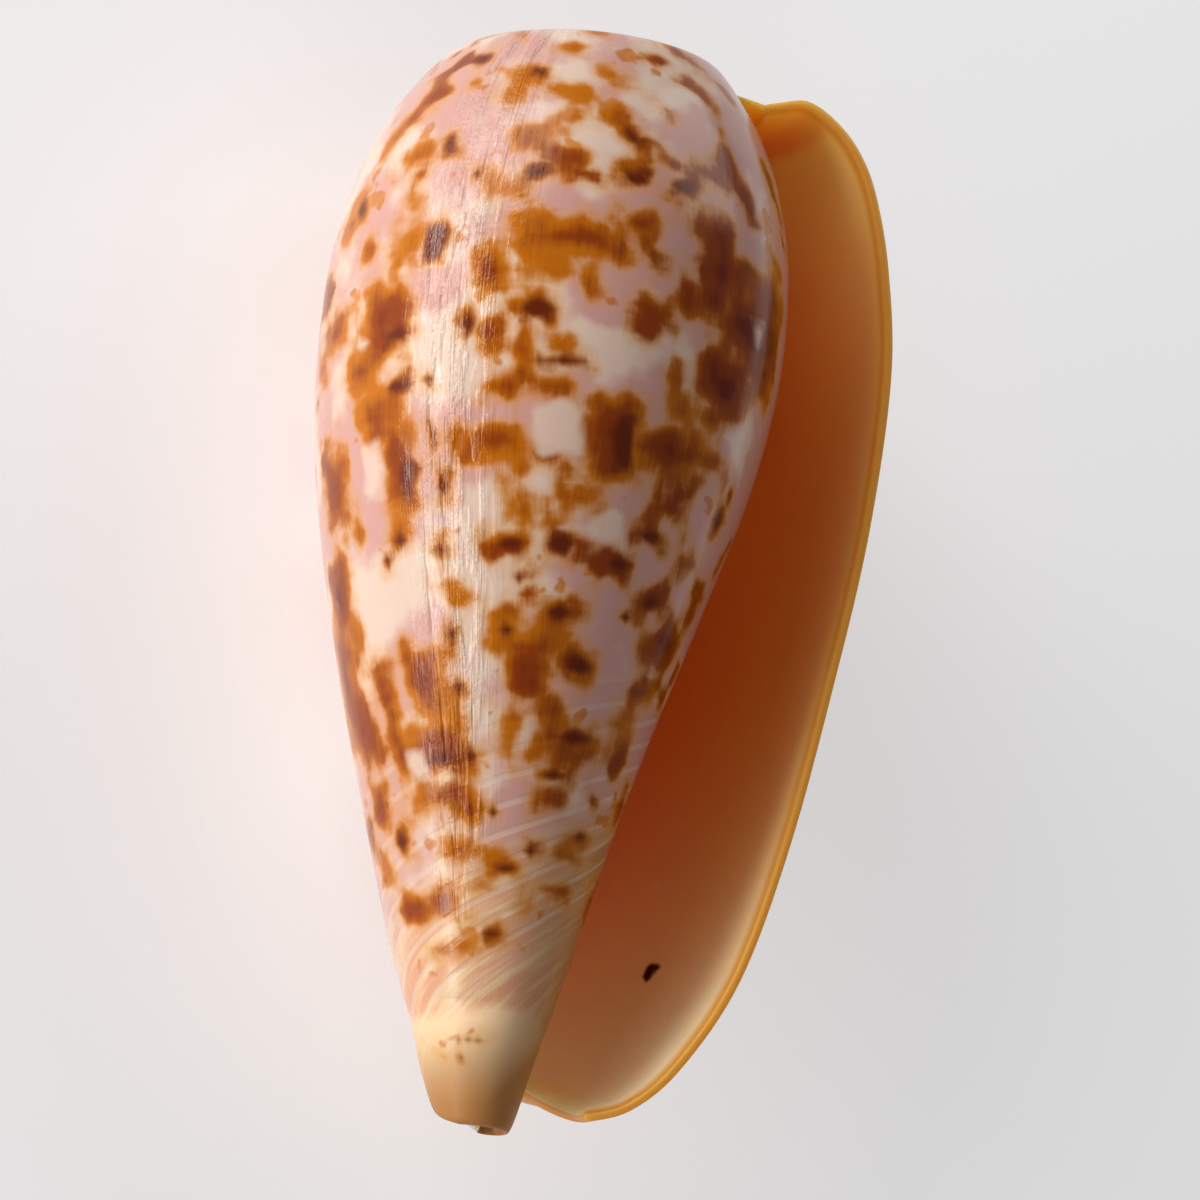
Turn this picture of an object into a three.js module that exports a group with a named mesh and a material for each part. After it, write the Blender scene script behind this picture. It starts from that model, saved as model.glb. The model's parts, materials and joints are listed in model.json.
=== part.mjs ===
// Cone shell: one closed body grown along a spiral, lying on its back and left side with the aperture up.
// Millimetres, +Z up. The spire points to +Y and the narrow base to -Y.
import * as THREE from 'three';

// The outline of the shell just behind the outer lip, from the spire down to the base.
// radius: distance from the coiling axis; depth: distance below the spire.
// radiusShrink, depthShrink: how fast each gets smaller, per radian of growth back from the lip.
const OUTLINE = [
  { name: 'channel', radius: 9.3, depth: 1.65, radiusShrink: 0.087, depthShrink: 0.068 },
  { name: 'inner rim', radius: 10.4, depth: 1.35, radiusShrink: 0.089, depthShrink: 0.068 },
  { name: 'rim', radius: 11.6, depth: 1.15, radiusShrink: 0.091, depthShrink: 0.069 },
  { name: 'attachment', radius: 12.8, depth: 1.85, radiusShrink: 0.094, depthShrink: 0.07 },
  { name: 'shoulder', radius: 14.4, depth: 3.65, radiusShrink: 0.094, depthShrink: 0.07 },
  { name: 'upper side', radius: 15.9, depth: 6.4, radiusShrink: 0.087, depthShrink: 0.067 },
  { name: 'broad side', radius: 17.2, depth: 10.7, radiusShrink: 0.078, depthShrink: 0.061 },
  { name: 'widest', radius: 18, depth: 17, radiusShrink: 0.07, depthShrink: 0.053 },
  { name: 'belly', radius: 17.6, depth: 26.2, radiusShrink: 0.067, depthShrink: 0.046 },
  { name: 'middle', radius: 16.4, depth: 35.4, radiusShrink: 0.081, depthShrink: 0.038 },
  { name: 'lower side', radius: 14.8, depth: 45, radiusShrink: 0.125, depthShrink: 0.025 },
  { name: 'waist', radius: 12.8, depth: 52.7, radiusShrink: 0.198, depthShrink: 0.006 },
  { name: 'neck', radius: 10, depth: 58, radiusShrink: 0.266, depthShrink: -0.003 },
  { name: 'base', radius: 7.5, depth: 60.7, radiusShrink: 0.283, depthShrink: -0.007 },
  { name: 'base edge', radius: 5.2, depth: 61.7, radiusShrink: 0.3, depthShrink: -0.002 },
];
// Each whorl is attached to this row of the whorl before it.
const ATTACH_STATION = 3;
const LAST_STATION = OUTLINE.length - 1;

// The early whorls stand this much higher than the spiral alone gives, and only near the spire.
const SPIRE_RISE = 1.4;
const SPIRE_RISE_PER_RADIAN = 0.09;
const SPIRE_RISE_REACH = 4;
const APEX_BULGE = 0.15;
const APEX_HEIGHT = SPIRE_RISE + APEX_BULGE;
// Below the columella the base stops getting deeper after this much turn.
const DEEPEST_TURN = 1.25 * Math.PI;
// A shallow siphonal notch in the base edge, behind the lip.
const NOTCH_RISE = 2.6;
const NOTCH_TURN = 1.7;
const NOTCH_HALF_TURN = 1.1;
const NOTCH_STATION = 14;
const NOTCH_STATIONS = 1.5;
// The rounded tip of the columella leans away from the aperture.
const TIP_LEAN = 0.2;
const TIP_START_DEPTH = 54;
const TIP_LENGTH = 6;
const TIP_RADIUS = 4.5;
const TIP_MOST_LENGTHS = 2;
const TIP_BULGE = 0.15;

// The lip spreads a little outwards just below its upper corner.
const FLARE = 0.45;
const FLARE_TURN = 0.6;
const FLARE_STATION = 4;
const FLARE_STATIONS = 1.5;

// The wall comes to a narrow rim at the lip and the base edge, and is thicker behind it.
const RIM_THICKNESS = 0.4;
const RIM_ROUNDING = 1.2;
const STATION_LENGTH = 2.6;
const STATION_SHRINK = 0.2;
const LIP_THICKNESS = 0.9;
const WALL_THICKNESS = 1.4;
const LIP_THICKENING_TURN = 0.6;
const SPIRE_WALL_SHARE = 0.65;
const SPIRE_WALL_STATIONS = 4;
const MOST_GAP_FILLED = 0.5;
const MOST_RADIUS_FILLED = 0.2;

// The hollow between the whorls runs this far in, at the spire and at the base.
const HOLLOW_TURNS = 2;
const HOLLOW_BASE_ANGLE = (170 * Math.PI) / 180;
const HOLLOW_TAPER_START = 4.5;
const SPIRE_TURNS = 5;

// Facets.
const STEPS_PER_TURN = 28;
const ROWS_PER_STATION = 2;
// Distance, in stations and in radians, over which the surface's slope is measured.
const SLOPE_STEP = 1e-3;

// The still pose: which side of the shell is underneath, as an angle around the axis from the lip
// and a slope of the axis, both in degrees.
const REST_SIDE = 113.36;
const REST_SLOPE = -3.56;

const FULL_TURN = 2 * Math.PI;

function spline(before, start, end, after, share) {
  const startSlope = (end - before) / 2;
  const endSlope = (after - start) / 2;
  const cubic = 2 * start - 2 * end + startSlope + endSlope;
  const square = -3 * start + 3 * end - 2 * startSlope - endSlope;
  return ((cubic * share + square) * share + startSlope) * share + start;
}

// Values of the outline at a station, which may lie between two rows of the table.
function outlineAt(station) {
  const index = Math.min(Math.floor(station), LAST_STATION - 1);
  const share = station - index;
  const before = OUTLINE[Math.max(index - 1, 0)];
  const start = OUTLINE[index];
  const end = OUTLINE[index + 1];
  const after = OUTLINE[Math.min(index + 2, LAST_STATION)];
  const value = (key) => spline(before[key], start[key], end[key], after[key], share);
  return {
    radius: value('radius'),
    depth: value('depth'),
    radiusShrink: value('radiusShrink'),
    depthShrink: value('depthShrink'),
  };
}

function bell(value, middle, width) {
  return Math.exp(-(((value - middle) / width) ** 2));
}

// Outer surface: station down the outline, turn in radians back from the lip.
function outerPoint(station, turn) {
  const row = outlineAt(station);
  const depthTurn = row.depthShrink < 0 ? Math.min(turn, DEEPEST_TURN) : turn;
  const flare = FLARE * bell(turn, 0, FLARE_TURN) * bell(station, FLARE_STATION, FLARE_STATIONS);
  const radius = row.radius * Math.exp(-row.radiusShrink * turn) + flare;
  const depth = row.depth * Math.exp(-row.depthShrink * depthTurn);
  const early = Math.max(1 - Math.exp(-SPIRE_RISE_PER_RADIAN * turn), 0) ** 3;
  const spire = SPIRE_RISE * early * Math.exp(-depth / SPIRE_RISE_REACH);
  const notch = NOTCH_RISE * bell(turn, NOTCH_TURN, NOTCH_HALF_TURN) * bell(station, NOTCH_STATION, NOTCH_STATIONS);
  const tip = Math.min(Math.max((depth - TIP_START_DEPTH) / TIP_LENGTH, 0), TIP_MOST_LENGTHS);
  const lean = TIP_LEAN * tip * tip * bell(radius, 0, TIP_RADIUS);
  return new THREE.Vector3(
    radius * Math.cos(turn) - lean,
    radius * Math.sin(turn),
    spire + notch - depth,
  );
}

function outwardNormal(station, turn) {
  const above = outerPoint(Math.max(station - SLOPE_STEP, 0), turn);
  const below = outerPoint(Math.min(station + SLOPE_STEP, LAST_STATION), turn);
  const ahead = outerPoint(station, turn - SLOPE_STEP);
  const behind = outerPoint(station, turn + SLOPE_STEP);
  const down = below.sub(above);
  const back = behind.sub(ahead);
  return down.cross(back).normalize();
}

function wallThickness(station, turn) {
  const row = outlineAt(station);
  const radius = row.radius * Math.exp(-row.radiusShrink * turn);
  const gap = radius * (1 - Math.exp(-FULL_TURN * row.radiusShrink));
  const behindLip = 1 - Math.exp(-turn / LIP_THICKENING_TURN);
  const full = LIP_THICKNESS + (WALL_THICKNESS - LIP_THICKNESS) * behindLip;
  const share = Math.min(station / SPIRE_WALL_STATIONS, 1);
  const thinned = full * (SPIRE_WALL_SHARE + (1 - SPIRE_WALL_SHARE) * share);
  const wall = Math.min(thinned, MOST_GAP_FILLED * gap, MOST_RADIUS_FILLED * radius);
  const toBase = (LAST_STATION - station) * STATION_LENGTH * Math.exp(-STATION_SHRINK * turn);
  const toEdge = Math.min(radius * turn, toBase);
  const rim = Math.min(wall, RIM_THICKNESS);
  return rim + (wall - rim) * (1 - Math.exp(-toEdge / RIM_ROUNDING));
}

function innerPoint(station, turn) {
  const inward = outwardNormal(station, turn).multiplyScalar(-wallThickness(station, turn));
  return outerPoint(station, turn).add(inward);
}

// How far in the hollow runs at a station, in radians.
function hollowEnd(station) {
  const span = LAST_STATION - HOLLOW_TAPER_START;
  const share = Math.min(Math.max((station - HOLLOW_TAPER_START) / span, 0), 1);
  const eased = share * share * (3 - 2 * share);
  return HOLLOW_TURNS * FULL_TURN * (1 - eased) + HOLLOW_BASE_ANGLE * eased;
}

function buildShell() {
  const positions = [];
  const faces = [];
  const add = (point) => positions.push(point.x, point.y, point.z) / 3 - 1;
  const triangle = (a, b, c) => {
    if (a !== b && b !== c && a !== c) faces.push(a, b, c);
  };
  const quad = (a, b, c, d) => {
    triangle(a, b, c);
    triangle(a, c, d);
  };

  const rowCount = LAST_STATION * ROWS_PER_STATION + 1;
  const lastRow = rowCount - 1;
  const attachRow = ATTACH_STATION * ROWS_PER_STATION;
  const hollowSteps = HOLLOW_TURNS * STEPS_PER_TURN;
  const sideSteps = STEPS_PER_TURN + hollowSteps;
  const spireSteps = SPIRE_TURNS * STEPS_PER_TURN;
  const turnStep = FULL_TURN / STEPS_PER_TURN;
  const hollowTop = HOLLOW_TURNS * FULL_TURN;

  // Rows of points. Those above the attachment row go on to the apex.
  const outer = [];
  const inner = [];
  for (let row = 0; row < rowCount; row += 1) {
    const station = row / ROWS_PER_STATION;
    const share = row > attachRow + 1 ? hollowEnd(station) / hollowTop : 1;
    const steps = row > attachRow ? sideSteps : spireSteps;
    outer.push([]);
    inner.push([]);
    for (let step = 0; step <= steps; step += 1) {
      const covered = Math.max(step - STEPS_PER_TURN, 0);
      const turn = (step - covered + covered * share) * turnStep;
      outer[row].push(add(outerPoint(station, turn)));
    }
    for (let step = 0; step <= hollowSteps; step += 1) {
      inner[row].push(add(innerPoint(station, step * turnStep * share)));
    }
  }
  const apex = add(new THREE.Vector3(0, 0, APEX_HEIGHT));
  // The suture is the attachment row of the whorl before, outside and in the hollow.
  const suture = [];
  for (let step = 0; step <= spireSteps; step += 1) {
    suture.push(outer[attachRow][step + STEPS_PER_TURN] ?? apex);
  }
  const roof = [];
  for (let step = 0; step <= hollowSteps; step += 1) {
    roof.push(outer[attachRow + 1][step + STEPS_PER_TURN]);
  }

  // Outside: the spire rows to the apex, the side rows once round and on along the columella.
  for (let step = 0; step < spireSteps; step += 1) {
    quad(suture[step], outer[0][step], outer[0][step + 1], suture[step + 1]);
    for (let row = 0; row < lastRow; row += 1) {
      const onSpire = row < attachRow;
      const joined = row === attachRow && step < STEPS_PER_TURN;
      const onSide = row > attachRow && step < sideSteps;
      if (onSpire || joined || onSide) {
        quad(outer[row][step], outer[row + 1][step], outer[row + 1][step + 1], outer[row][step + 1]);
      }
    }
  }
  // Inside of the wall.
  for (let step = 0; step < hollowSteps; step += 1) {
    quad(roof[step], roof[step + 1], inner[0][step + 1], inner[0][step]);
    for (let row = 0; row < lastRow; row += 1) {
      quad(inner[row][step], inner[row][step + 1], inner[row + 1][step + 1], inner[row + 1][step]);
    }
  }
  // Edge of the lip.
  quad(suture[0], roof[0], inner[0][0], outer[0][0]);
  for (let row = 0; row < lastRow; row += 1) {
    quad(outer[row][0], inner[row][0], inner[row + 1][0], outer[row + 1][0]);
  }
  // Deep end of the hollow, where the wall meets the whorl inside it.
  const corner = outer[attachRow + 1][sideSteps];
  triangle(corner, inner[0][hollowSteps], roof[hollowSteps]);
  for (let row = 0; row <= attachRow; row += 1) {
    triangle(corner, inner[row + 1][hollowSteps], inner[row][hollowSteps]);
  }
  for (let row = attachRow + 1; row < lastRow; row += 1) {
    quad(outer[row][sideSteps], outer[row + 1][sideSteps], inner[row + 1][hollowSteps], inner[row][hollowSteps]);
  }
  // Base edge: outer and inner rows joined by angle as far as the hollow runs.
  const innerStep = (HOLLOW_BASE_ANGLE / hollowTop) * turnStep;
  let outerAt = 0;
  let innerAt = 0;
  const outerEnd = Math.ceil(HOLLOW_BASE_ANGLE / turnStep);
  while (outerAt < outerEnd || innerAt < hollowSteps) {
    const outerNext = (outerAt + 1) * turnStep;
    const innerNext = (innerAt + 1) * innerStep;
    if (innerAt >= hollowSteps || (outerAt < outerEnd && outerNext <= innerNext)) {
      triangle(outer[lastRow][outerAt], inner[lastRow][innerAt], outer[lastRow][outerAt + 1]);
      outerAt += 1;
    } else {
      triangle(outer[lastRow][outerAt], inner[lastRow][innerAt], inner[lastRow][innerAt + 1]);
      innerAt += 1;
    }
  }
  // Rounded end of the columella.
  const tipPoint = outerPoint(LAST_STATION, Math.PI);
  const tip = add(new THREE.Vector3(0, 0, tipPoint.z - TIP_BULGE));
  const loop = outer[lastRow].slice(outerEnd).concat(inner[lastRow][hollowSteps]);
  loop.forEach((point, index) => triangle(point, tip, loop[(index + 1) % loop.length]));
  // Apex.
  for (let row = 0; row < attachRow; row += 1) {
    triangle(apex, outer[row][spireSteps], outer[row + 1][spireSteps]);
  }

  const geometry = new THREE.BufferGeometry();
  geometry.setAttribute('position', new THREE.Float32BufferAttribute(positions, 3));
  geometry.setIndex(faces);
  geometry.computeVertexNormals();
  return geometry;
}

const shell = new THREE.Mesh(
  buildShell(),
  new THREE.MeshStandardMaterial({ color: 0xd99b62, roughness: 0.22, metalness: 0 }),
);
shell.name = 'shell';
shell.rotation.set(
  THREE.MathUtils.degToRad(-90 - REST_SLOPE),
  0,
  THREE.MathUtils.degToRad(90 - REST_SIDE),
);

const coneShell = new THREE.Group();
coneShell.name = 'cone_shell';
coneShell.add(shell);
coneShell.updateMatrixWorld(true);
const box = new THREE.Box3().setFromObject(coneShell, true);
const middle = box.getCenter(new THREE.Vector3());
shell.position.set(-middle.x, -middle.y, -box.min.z);
coneShell.updateMatrixWorld(true);

export default coneShell;
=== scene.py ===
"""Cone shell lying on its back with the aperture up.

The shell is one closed surface grown along a spiral. Every shape is a function of
two parameters, the station down the outline and the turn back from the lip, worked
out as whole arrays. Lengths are millimetres until a mesh is written, in metres.
"""

import json
import logging
from dataclasses import dataclass, field
from enum import Enum
from functools import partial

import bpy
import numpy as np
from mathutils import Matrix

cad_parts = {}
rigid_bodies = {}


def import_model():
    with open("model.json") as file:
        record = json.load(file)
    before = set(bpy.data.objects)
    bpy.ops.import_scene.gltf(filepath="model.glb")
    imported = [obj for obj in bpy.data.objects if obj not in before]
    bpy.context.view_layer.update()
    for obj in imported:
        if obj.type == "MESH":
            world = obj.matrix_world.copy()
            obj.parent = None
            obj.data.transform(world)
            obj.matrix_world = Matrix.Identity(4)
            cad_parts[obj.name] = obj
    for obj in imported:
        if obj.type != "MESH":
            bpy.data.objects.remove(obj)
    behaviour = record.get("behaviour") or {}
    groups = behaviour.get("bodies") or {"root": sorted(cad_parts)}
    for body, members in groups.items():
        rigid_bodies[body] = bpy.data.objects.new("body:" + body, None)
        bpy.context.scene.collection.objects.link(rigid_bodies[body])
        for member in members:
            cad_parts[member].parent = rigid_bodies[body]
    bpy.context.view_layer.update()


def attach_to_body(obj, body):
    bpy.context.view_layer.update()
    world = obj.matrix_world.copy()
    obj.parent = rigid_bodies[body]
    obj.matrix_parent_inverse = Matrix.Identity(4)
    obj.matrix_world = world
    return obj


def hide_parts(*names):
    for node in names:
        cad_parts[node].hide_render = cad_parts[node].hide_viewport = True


logging.basicConfig(level=logging.INFO, format="%(message)s")
LOG = logging.getLogger("cone_shell")

METRES = 0.001
FULL_TURN = 2.0 * np.pi
# Millimetres of height for one unit of the growth map's second coordinate.
MAP_HEIGHT = 60.0
Colour = tuple[float, float, float]
Place = tuple[float, float, float]
Socket = bpy.types.NodeSocket


def bell(value: np.ndarray, middle: float, width: float) -> np.ndarray:
    """Bell curve: e to the minus square of (value - middle) / width."""
    return np.exp(-(((value - middle) / width) ** 2))


def eased(share: np.ndarray) -> np.ndarray:
    """Smooth step from 0 to 1: share squared times (3 - 2 share), with share held in 0..1."""
    held = np.clip(share, 0.0, 1.0)
    return held * held * (3.0 - 2.0 * held)


def unit(vectors: np.ndarray) -> np.ndarray:
    """Each vector divided by its length."""
    return vectors / np.linalg.norm(vectors, axis=-1, keepdims=True)


@dataclass(frozen=True)
class Rise:
    """A smooth rise along the shell: where it starts, its length and how high it gets."""

    start: float
    length: float
    height: float = 1.0

    def at(self, value: np.ndarray) -> np.ndarray:
        """Height times the smooth step of (value - start) / length."""
        return self.height * eased((value - self.start) / self.length)


@dataclass(frozen=True)
class GrowthSpiral:
    """The shell's wall as a surface, in the shell's own frame.

    The axis is Z with the spire up, the lip stands at +X and the back is +Y.
    Outline columns: radius, depth, radius shrink and depth shrink per radian. Their
    values are rounded from a fit to the silhouette, and the rows at the spire and at
    the base were then changed.
    """

    outline: tuple[tuple[float, float, float, float], ...] = (
        (9.3, 1.65, 0.087, 0.068),
        (10.4, 1.35, 0.089, 0.068),
        (11.6, 1.15, 0.091, 0.069),
        (12.8, 1.85, 0.094, 0.07),
        (14.4, 3.65, 0.094, 0.07),
        (15.9, 6.4, 0.087, 0.067),
        (17.2, 10.7, 0.078, 0.061),
        (18.0, 17.0, 0.07, 0.053),
        (17.6, 26.2, 0.067, 0.046),
        (16.4, 35.4, 0.081, 0.038),
        (14.8, 45.0, 0.125, 0.025),
        (12.8, 52.7, 0.198, 0.006),
        (10.0, 58.0, 0.266, -0.003),
        (7.5, 60.7, 0.283, -0.007),
        (5.2, 61.7, 0.3, -0.002),
    )
    attach_station: int = 3
    slope_step: float = 1e-3
    spire_rise: float = 1.4
    spire_rise_per_radian: float = 0.09
    spire_rise_reach: float = 4.0
    apex_bulge: float = 0.15
    deepest_turn: float = 1.25 * np.pi
    notch_rise: float = 2.6
    notch_turn: float = 1.7
    notch_half_turn: float = 1.1
    notch_station: float = 14.0
    notch_stations: float = 1.5
    tip_lean: float = 0.2
    tip_start_depth: float = 54.0
    tip_length: float = 6.0
    tip_most_lengths: float = 2.0
    tip_radius: float = 4.5
    tip_bulge: float = 0.15
    bulb_depth: float = 58.8
    bulb_length: float = 1.6
    bulb_swell: float = 0.36
    bulb_turn: float = 3.9
    bulb_half_turn: float = 1.0
    waist_depth: float = 56.4
    waist_length: float = 0.55
    waist_cut: float = 0.2
    wave_depth: float = 0.3
    waves_per_turn: float = 2.0
    wave_start: float = 0.9
    flare: float = 0.45
    flare_turn: float = 0.6
    flare_station: float = 4.0
    flare_stations: float = 1.5
    rim_thickness: float = 0.4
    rim_rounding: float = 1.2
    station_length: float = 2.6
    station_shrink: float = 0.2
    lip_thickness: float = 0.9
    wall_thickness: float = 1.4
    thickening_turn: float = 0.6
    spire_wall_share: float = 0.65
    spire_wall_stations: float = 4.0
    most_gap_filled: float = 0.5
    most_radius_filled: float = 0.2
    height_shrink: float = 0.065
    front_turn: float = 1.5 * np.pi

    @property
    def last_station(self) -> int:
        """Number of the station at the base edge."""
        return len(self.outline) - 1

    def outline_at(self, station: np.ndarray) -> np.ndarray:
        """Values of the outline between its rows.

        Formula: the cubic through two neighbouring rows whose slope at each is half
        the step between the rows on either side of it.

        Args:
            station: stations down the outline, of any shape.

        Returns:
            The four outline columns, on a new last axis.
        """
        table = np.asarray(self.outline)
        index = np.clip(np.floor(station).astype(int), 0, self.last_station - 1)
        share = (station - index)[..., None]
        before = table[np.maximum(index - 1, 0)]
        start = table[index]
        end = table[index + 1]
        after = table[np.minimum(index + 2, self.last_station)]
        start_slope = (end - before) / 2.0
        end_slope = (after - start) / 2.0
        cubic = 2.0 * start - 2.0 * end + start_slope + end_slope
        square = -3.0 * start + 3.0 * end - 2.0 * start_slope - end_slope
        return ((cubic * share + square) * share + start_slope) * share + start

    def wavy_depth(self, depth: np.ndarray, turn: np.ndarray) -> np.ndarray:
        """Depth less a slow wave round the axis: wave depth times sine of (waves times turn + start)."""
        return depth - self.wave_depth * np.sin(self.waves_per_turn * turn + self.wave_start)

    def height(self, points: np.ndarray, turn: np.ndarray) -> np.ndarray:
        """Distance down the shell as at the front: minus Z times e to shrink times (turn - front turn)."""
        return -points[..., 2] * np.exp(self.height_shrink * (turn - self.front_turn))

    def outer(self, station: np.ndarray, turn: np.ndarray) -> np.ndarray:
        """Outer surface.

        Formula: radius and depth fall off as e to the minus shrink times turn, and
        the point is (radius cos turn, radius sin turn, -depth), with a small rise
        for the spire, a notch in the base edge and a lean of the rounded tip. Well
        behind the lip a narrow waist runs above the swollen bulb at the base.

        Args:
            station: stations down the outline.
            turn: radians back from the lip.

        Returns:
            Points in millimetres, on a new last axis.
        """
        station, turn = np.broadcast_arrays(np.asarray(station, float), np.asarray(turn, float))
        row = self.outline_at(station)
        depth_turn = np.where(row[..., 3] < 0.0, np.minimum(turn, self.deepest_turn), turn)
        radius = row[..., 0] * np.exp(-row[..., 2] * turn)
        flare = self.flare * bell(turn, 0.0, self.flare_turn)
        radius = radius + flare * bell(station, self.flare_station, self.flare_stations)
        depth = row[..., 1] * np.exp(-row[..., 3] * depth_turn)
        swell = self.bulb_swell * bell(depth, self.bulb_depth, self.bulb_length)
        waist = self.waist_cut * bell(self.wavy_depth(depth, turn), self.waist_depth, self.waist_length)
        radius = radius + bell(turn, self.bulb_turn, self.bulb_half_turn) * (swell - waist)
        early = np.maximum(1.0 - np.exp(-self.spire_rise_per_radian * turn), 0.0) ** 3
        rise = self.spire_rise * early * np.exp(-depth / self.spire_rise_reach)
        notch = self.notch_rise * bell(turn, self.notch_turn, self.notch_half_turn)
        notch = notch * bell(station, self.notch_station, self.notch_stations)
        past_start = (depth - self.tip_start_depth) / self.tip_length
        tip = np.clip(past_start, 0.0, self.tip_most_lengths) ** 2
        lean = self.tip_lean * tip * bell(radius, 0.0, self.tip_radius)
        return np.stack([radius * np.cos(turn) - lean, radius * np.sin(turn), rise + notch - depth], axis=-1)

    def growth_step(self, station: np.ndarray, turn: np.ndarray) -> np.ndarray:
        """Short step back along the turn: the outer point just after less the one just before."""
        return self.outer(station, turn + self.slope_step) - self.outer(station, turn - self.slope_step)

    def normal(self, station: np.ndarray, turn: np.ndarray) -> np.ndarray:
        """Outward direction.

        Formula: the cross product of a short step down the outline and a short step
        back along the turn, divided by its length.

        Args:
            station: stations down the outline.
            turn: radians back from the lip.

        Returns:
            Unit vectors, on a new last axis.
        """
        above = self.outer(np.maximum(station - self.slope_step, 0.0), turn)
        below = self.outer(np.minimum(station + self.slope_step, self.last_station), turn)
        return unit(np.cross(below - above, self.growth_step(station, turn)))

    def thickness(self, station: np.ndarray, turn: np.ndarray) -> np.ndarray:
        """Wall thickness.

        Formula: from the lip's thickness it nears the full wall as 1 less e to the
        minus turn. It is thinner on the spire, never more than part of the gap to
        the next whorl or of the radius, and comes down to the rim's thickness at the
        lip and at the base edge.

        Args:
            station: stations down the outline.
            turn: radians back from the lip.

        Returns:
            Thickness in millimetres.
        """
        row = self.outline_at(station)
        radius = row[..., 0] * np.exp(-row[..., 2] * turn)
        gap = radius * (1.0 - np.exp(-FULL_TURN * row[..., 2]))
        thickened = 1.0 - np.exp(-turn / self.thickening_turn)
        full = self.lip_thickness + (self.wall_thickness - self.lip_thickness) * thickened
        below_spire = np.minimum(station / self.spire_wall_stations, 1.0)
        thinned = full * (self.spire_wall_share + (1.0 - self.spire_wall_share) * below_spire)
        wall = np.minimum(np.minimum(thinned, self.most_gap_filled * gap), self.most_radius_filled * radius)
        to_base = (self.last_station - station) * self.station_length * np.exp(-self.station_shrink * turn)
        to_edge = np.minimum(radius * turn, to_base)
        rim = np.minimum(wall, self.rim_thickness)
        return rim + (wall - rim) * (1.0 - np.exp(-to_edge / self.rim_rounding))

    def inner(self, station: np.ndarray, turn: np.ndarray) -> np.ndarray:
        """Inner surface: the outer surface moved inwards by the wall thickness."""
        wall = self.thickness(station, turn)[..., None]
        return self.outer(station, turn) - wall * self.normal(station, turn)


@dataclass(frozen=True)
class RestPose:
    """How the shell lies: which side is underneath and how its axis slopes, in degrees."""

    side: float = 113.36
    slope: float = -3.56

    def turning(self) -> np.ndarray:
        """Rotation from the shell's frame to the row frame.

        Formula: a turn about Z that brings the side underneath, then one about X
        that lays the axis down.

        Returns:
            A matrix of three rows.
        """
        about_x, about_z = np.radians([-90.0 - self.slope, 90.0 - self.side])
        first = Matrix.Rotation(about_z, 3, "Z")
        second = Matrix.Rotation(about_x, 3, "X")
        return np.array(second @ first)

    def offset(self, points: np.ndarray) -> np.ndarray:
        """Shift that centres turned points over the origin and sets the lowest on the floor."""
        low, high = points.min(axis=0), points.max(axis=0)
        return np.array([-(low[0] + high[0]) / 2.0, -(low[1] + high[1]) / 2.0, -low[2]])


@dataclass(frozen=True)
class FrontView:
    """The photograph's camera, in the shell's frame.

    Formula: a point is turned by the tilt and the roll, its distance from the
    camera shrinks it, and it lands in a frame of 1200 by 1200 pixels. The values
    come from the same fit to the silhouette as the outline.
    """

    tilt: float = 18.08
    roll: float = 6.04
    distance: float = 446.0
    pixels_per_mm: float = 17.374
    origin_x: float = 605.8
    origin_y: float = 61.8
    frame: float = 1200.0
    sensor: float = 36.0
    nearest: float = 0.01
    farthest: float = 50.0

    def axes(self) -> tuple[np.ndarray, np.ndarray, np.ndarray]:
        """Directions of the picture, from the sines and cosines of its tilt and roll.

        Returns:
            Right, away and up.
        """
        tilt, roll = np.radians([self.tilt, self.roll])
        right = np.array([np.cos(roll), -np.sin(tilt) * np.sin(roll), np.cos(tilt) * np.sin(roll)])
        away = np.array([0.0, np.cos(tilt), np.sin(tilt)])
        up = np.array([-np.sin(roll), -np.sin(tilt) * np.cos(roll), np.cos(tilt) * np.cos(roll)])
        return right, away, up

    def picture(self, points: np.ndarray) -> np.ndarray:
        """Place of each point in the picture.

        Args:
            points: points in the shell's frame, in millimetres.

        Returns:
            Pixels across and down.
        """
        right, away, up = self.axes()
        nearer = self.distance / (self.distance + points @ away)
        across = self.origin_x + self.pixels_per_mm * (points @ right) * nearer
        down = self.origin_y - self.pixels_per_mm * (points @ up) * nearer
        return np.stack([across, down], axis=-1)

    def place_camera(self, turning: np.ndarray, offset: np.ndarray) -> bpy.types.Object:
        """Adds the camera at the photograph's viewing angle.

        Args:
            turning: rotation from the shell's frame to the row frame.
            offset: shift of the turned shell, in millimetres.

        Returns:
            The camera, aimed through the middle of the frame.
        """
        right, away, up = self.axes()
        middle = self.frame / 2.0
        aim = away * self.distance
        aim = aim + right * (middle - self.origin_x) / self.pixels_per_mm
        aim = aim - up * (middle - self.origin_y) / self.pixels_per_mm
        reach = np.linalg.norm(aim)
        forward = turning @ (aim / reach)
        upward = turning @ up
        side = unit(np.cross(forward, upward))
        upward = np.cross(side, forward)
        place = (turning @ (-away * self.distance) + offset) * METRES
        data = bpy.data.cameras.new("photo_camera")
        data.sensor_width = self.sensor
        data.lens = self.sensor * self.pixels_per_mm * reach / self.frame
        data.clip_start = self.nearest
        data.clip_end = self.farthest
        camera = bpy.data.objects.new("photo_camera", data)
        rows = [[side[i], upward[i], -forward[i], place[i]] for i in range(3)]
        camera.matrix_world = Matrix([*rows, [0.0, 0.0, 0.0, 1.0]])
        bpy.context.scene.collection.objects.link(camera)
        bpy.context.scene.camera = camera
        return camera


class Shape(Enum):
    """Outline of one marking on the shell."""

    PATCH = "patch"
    TENT = "tent"
    SPOT = "spot"


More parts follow.
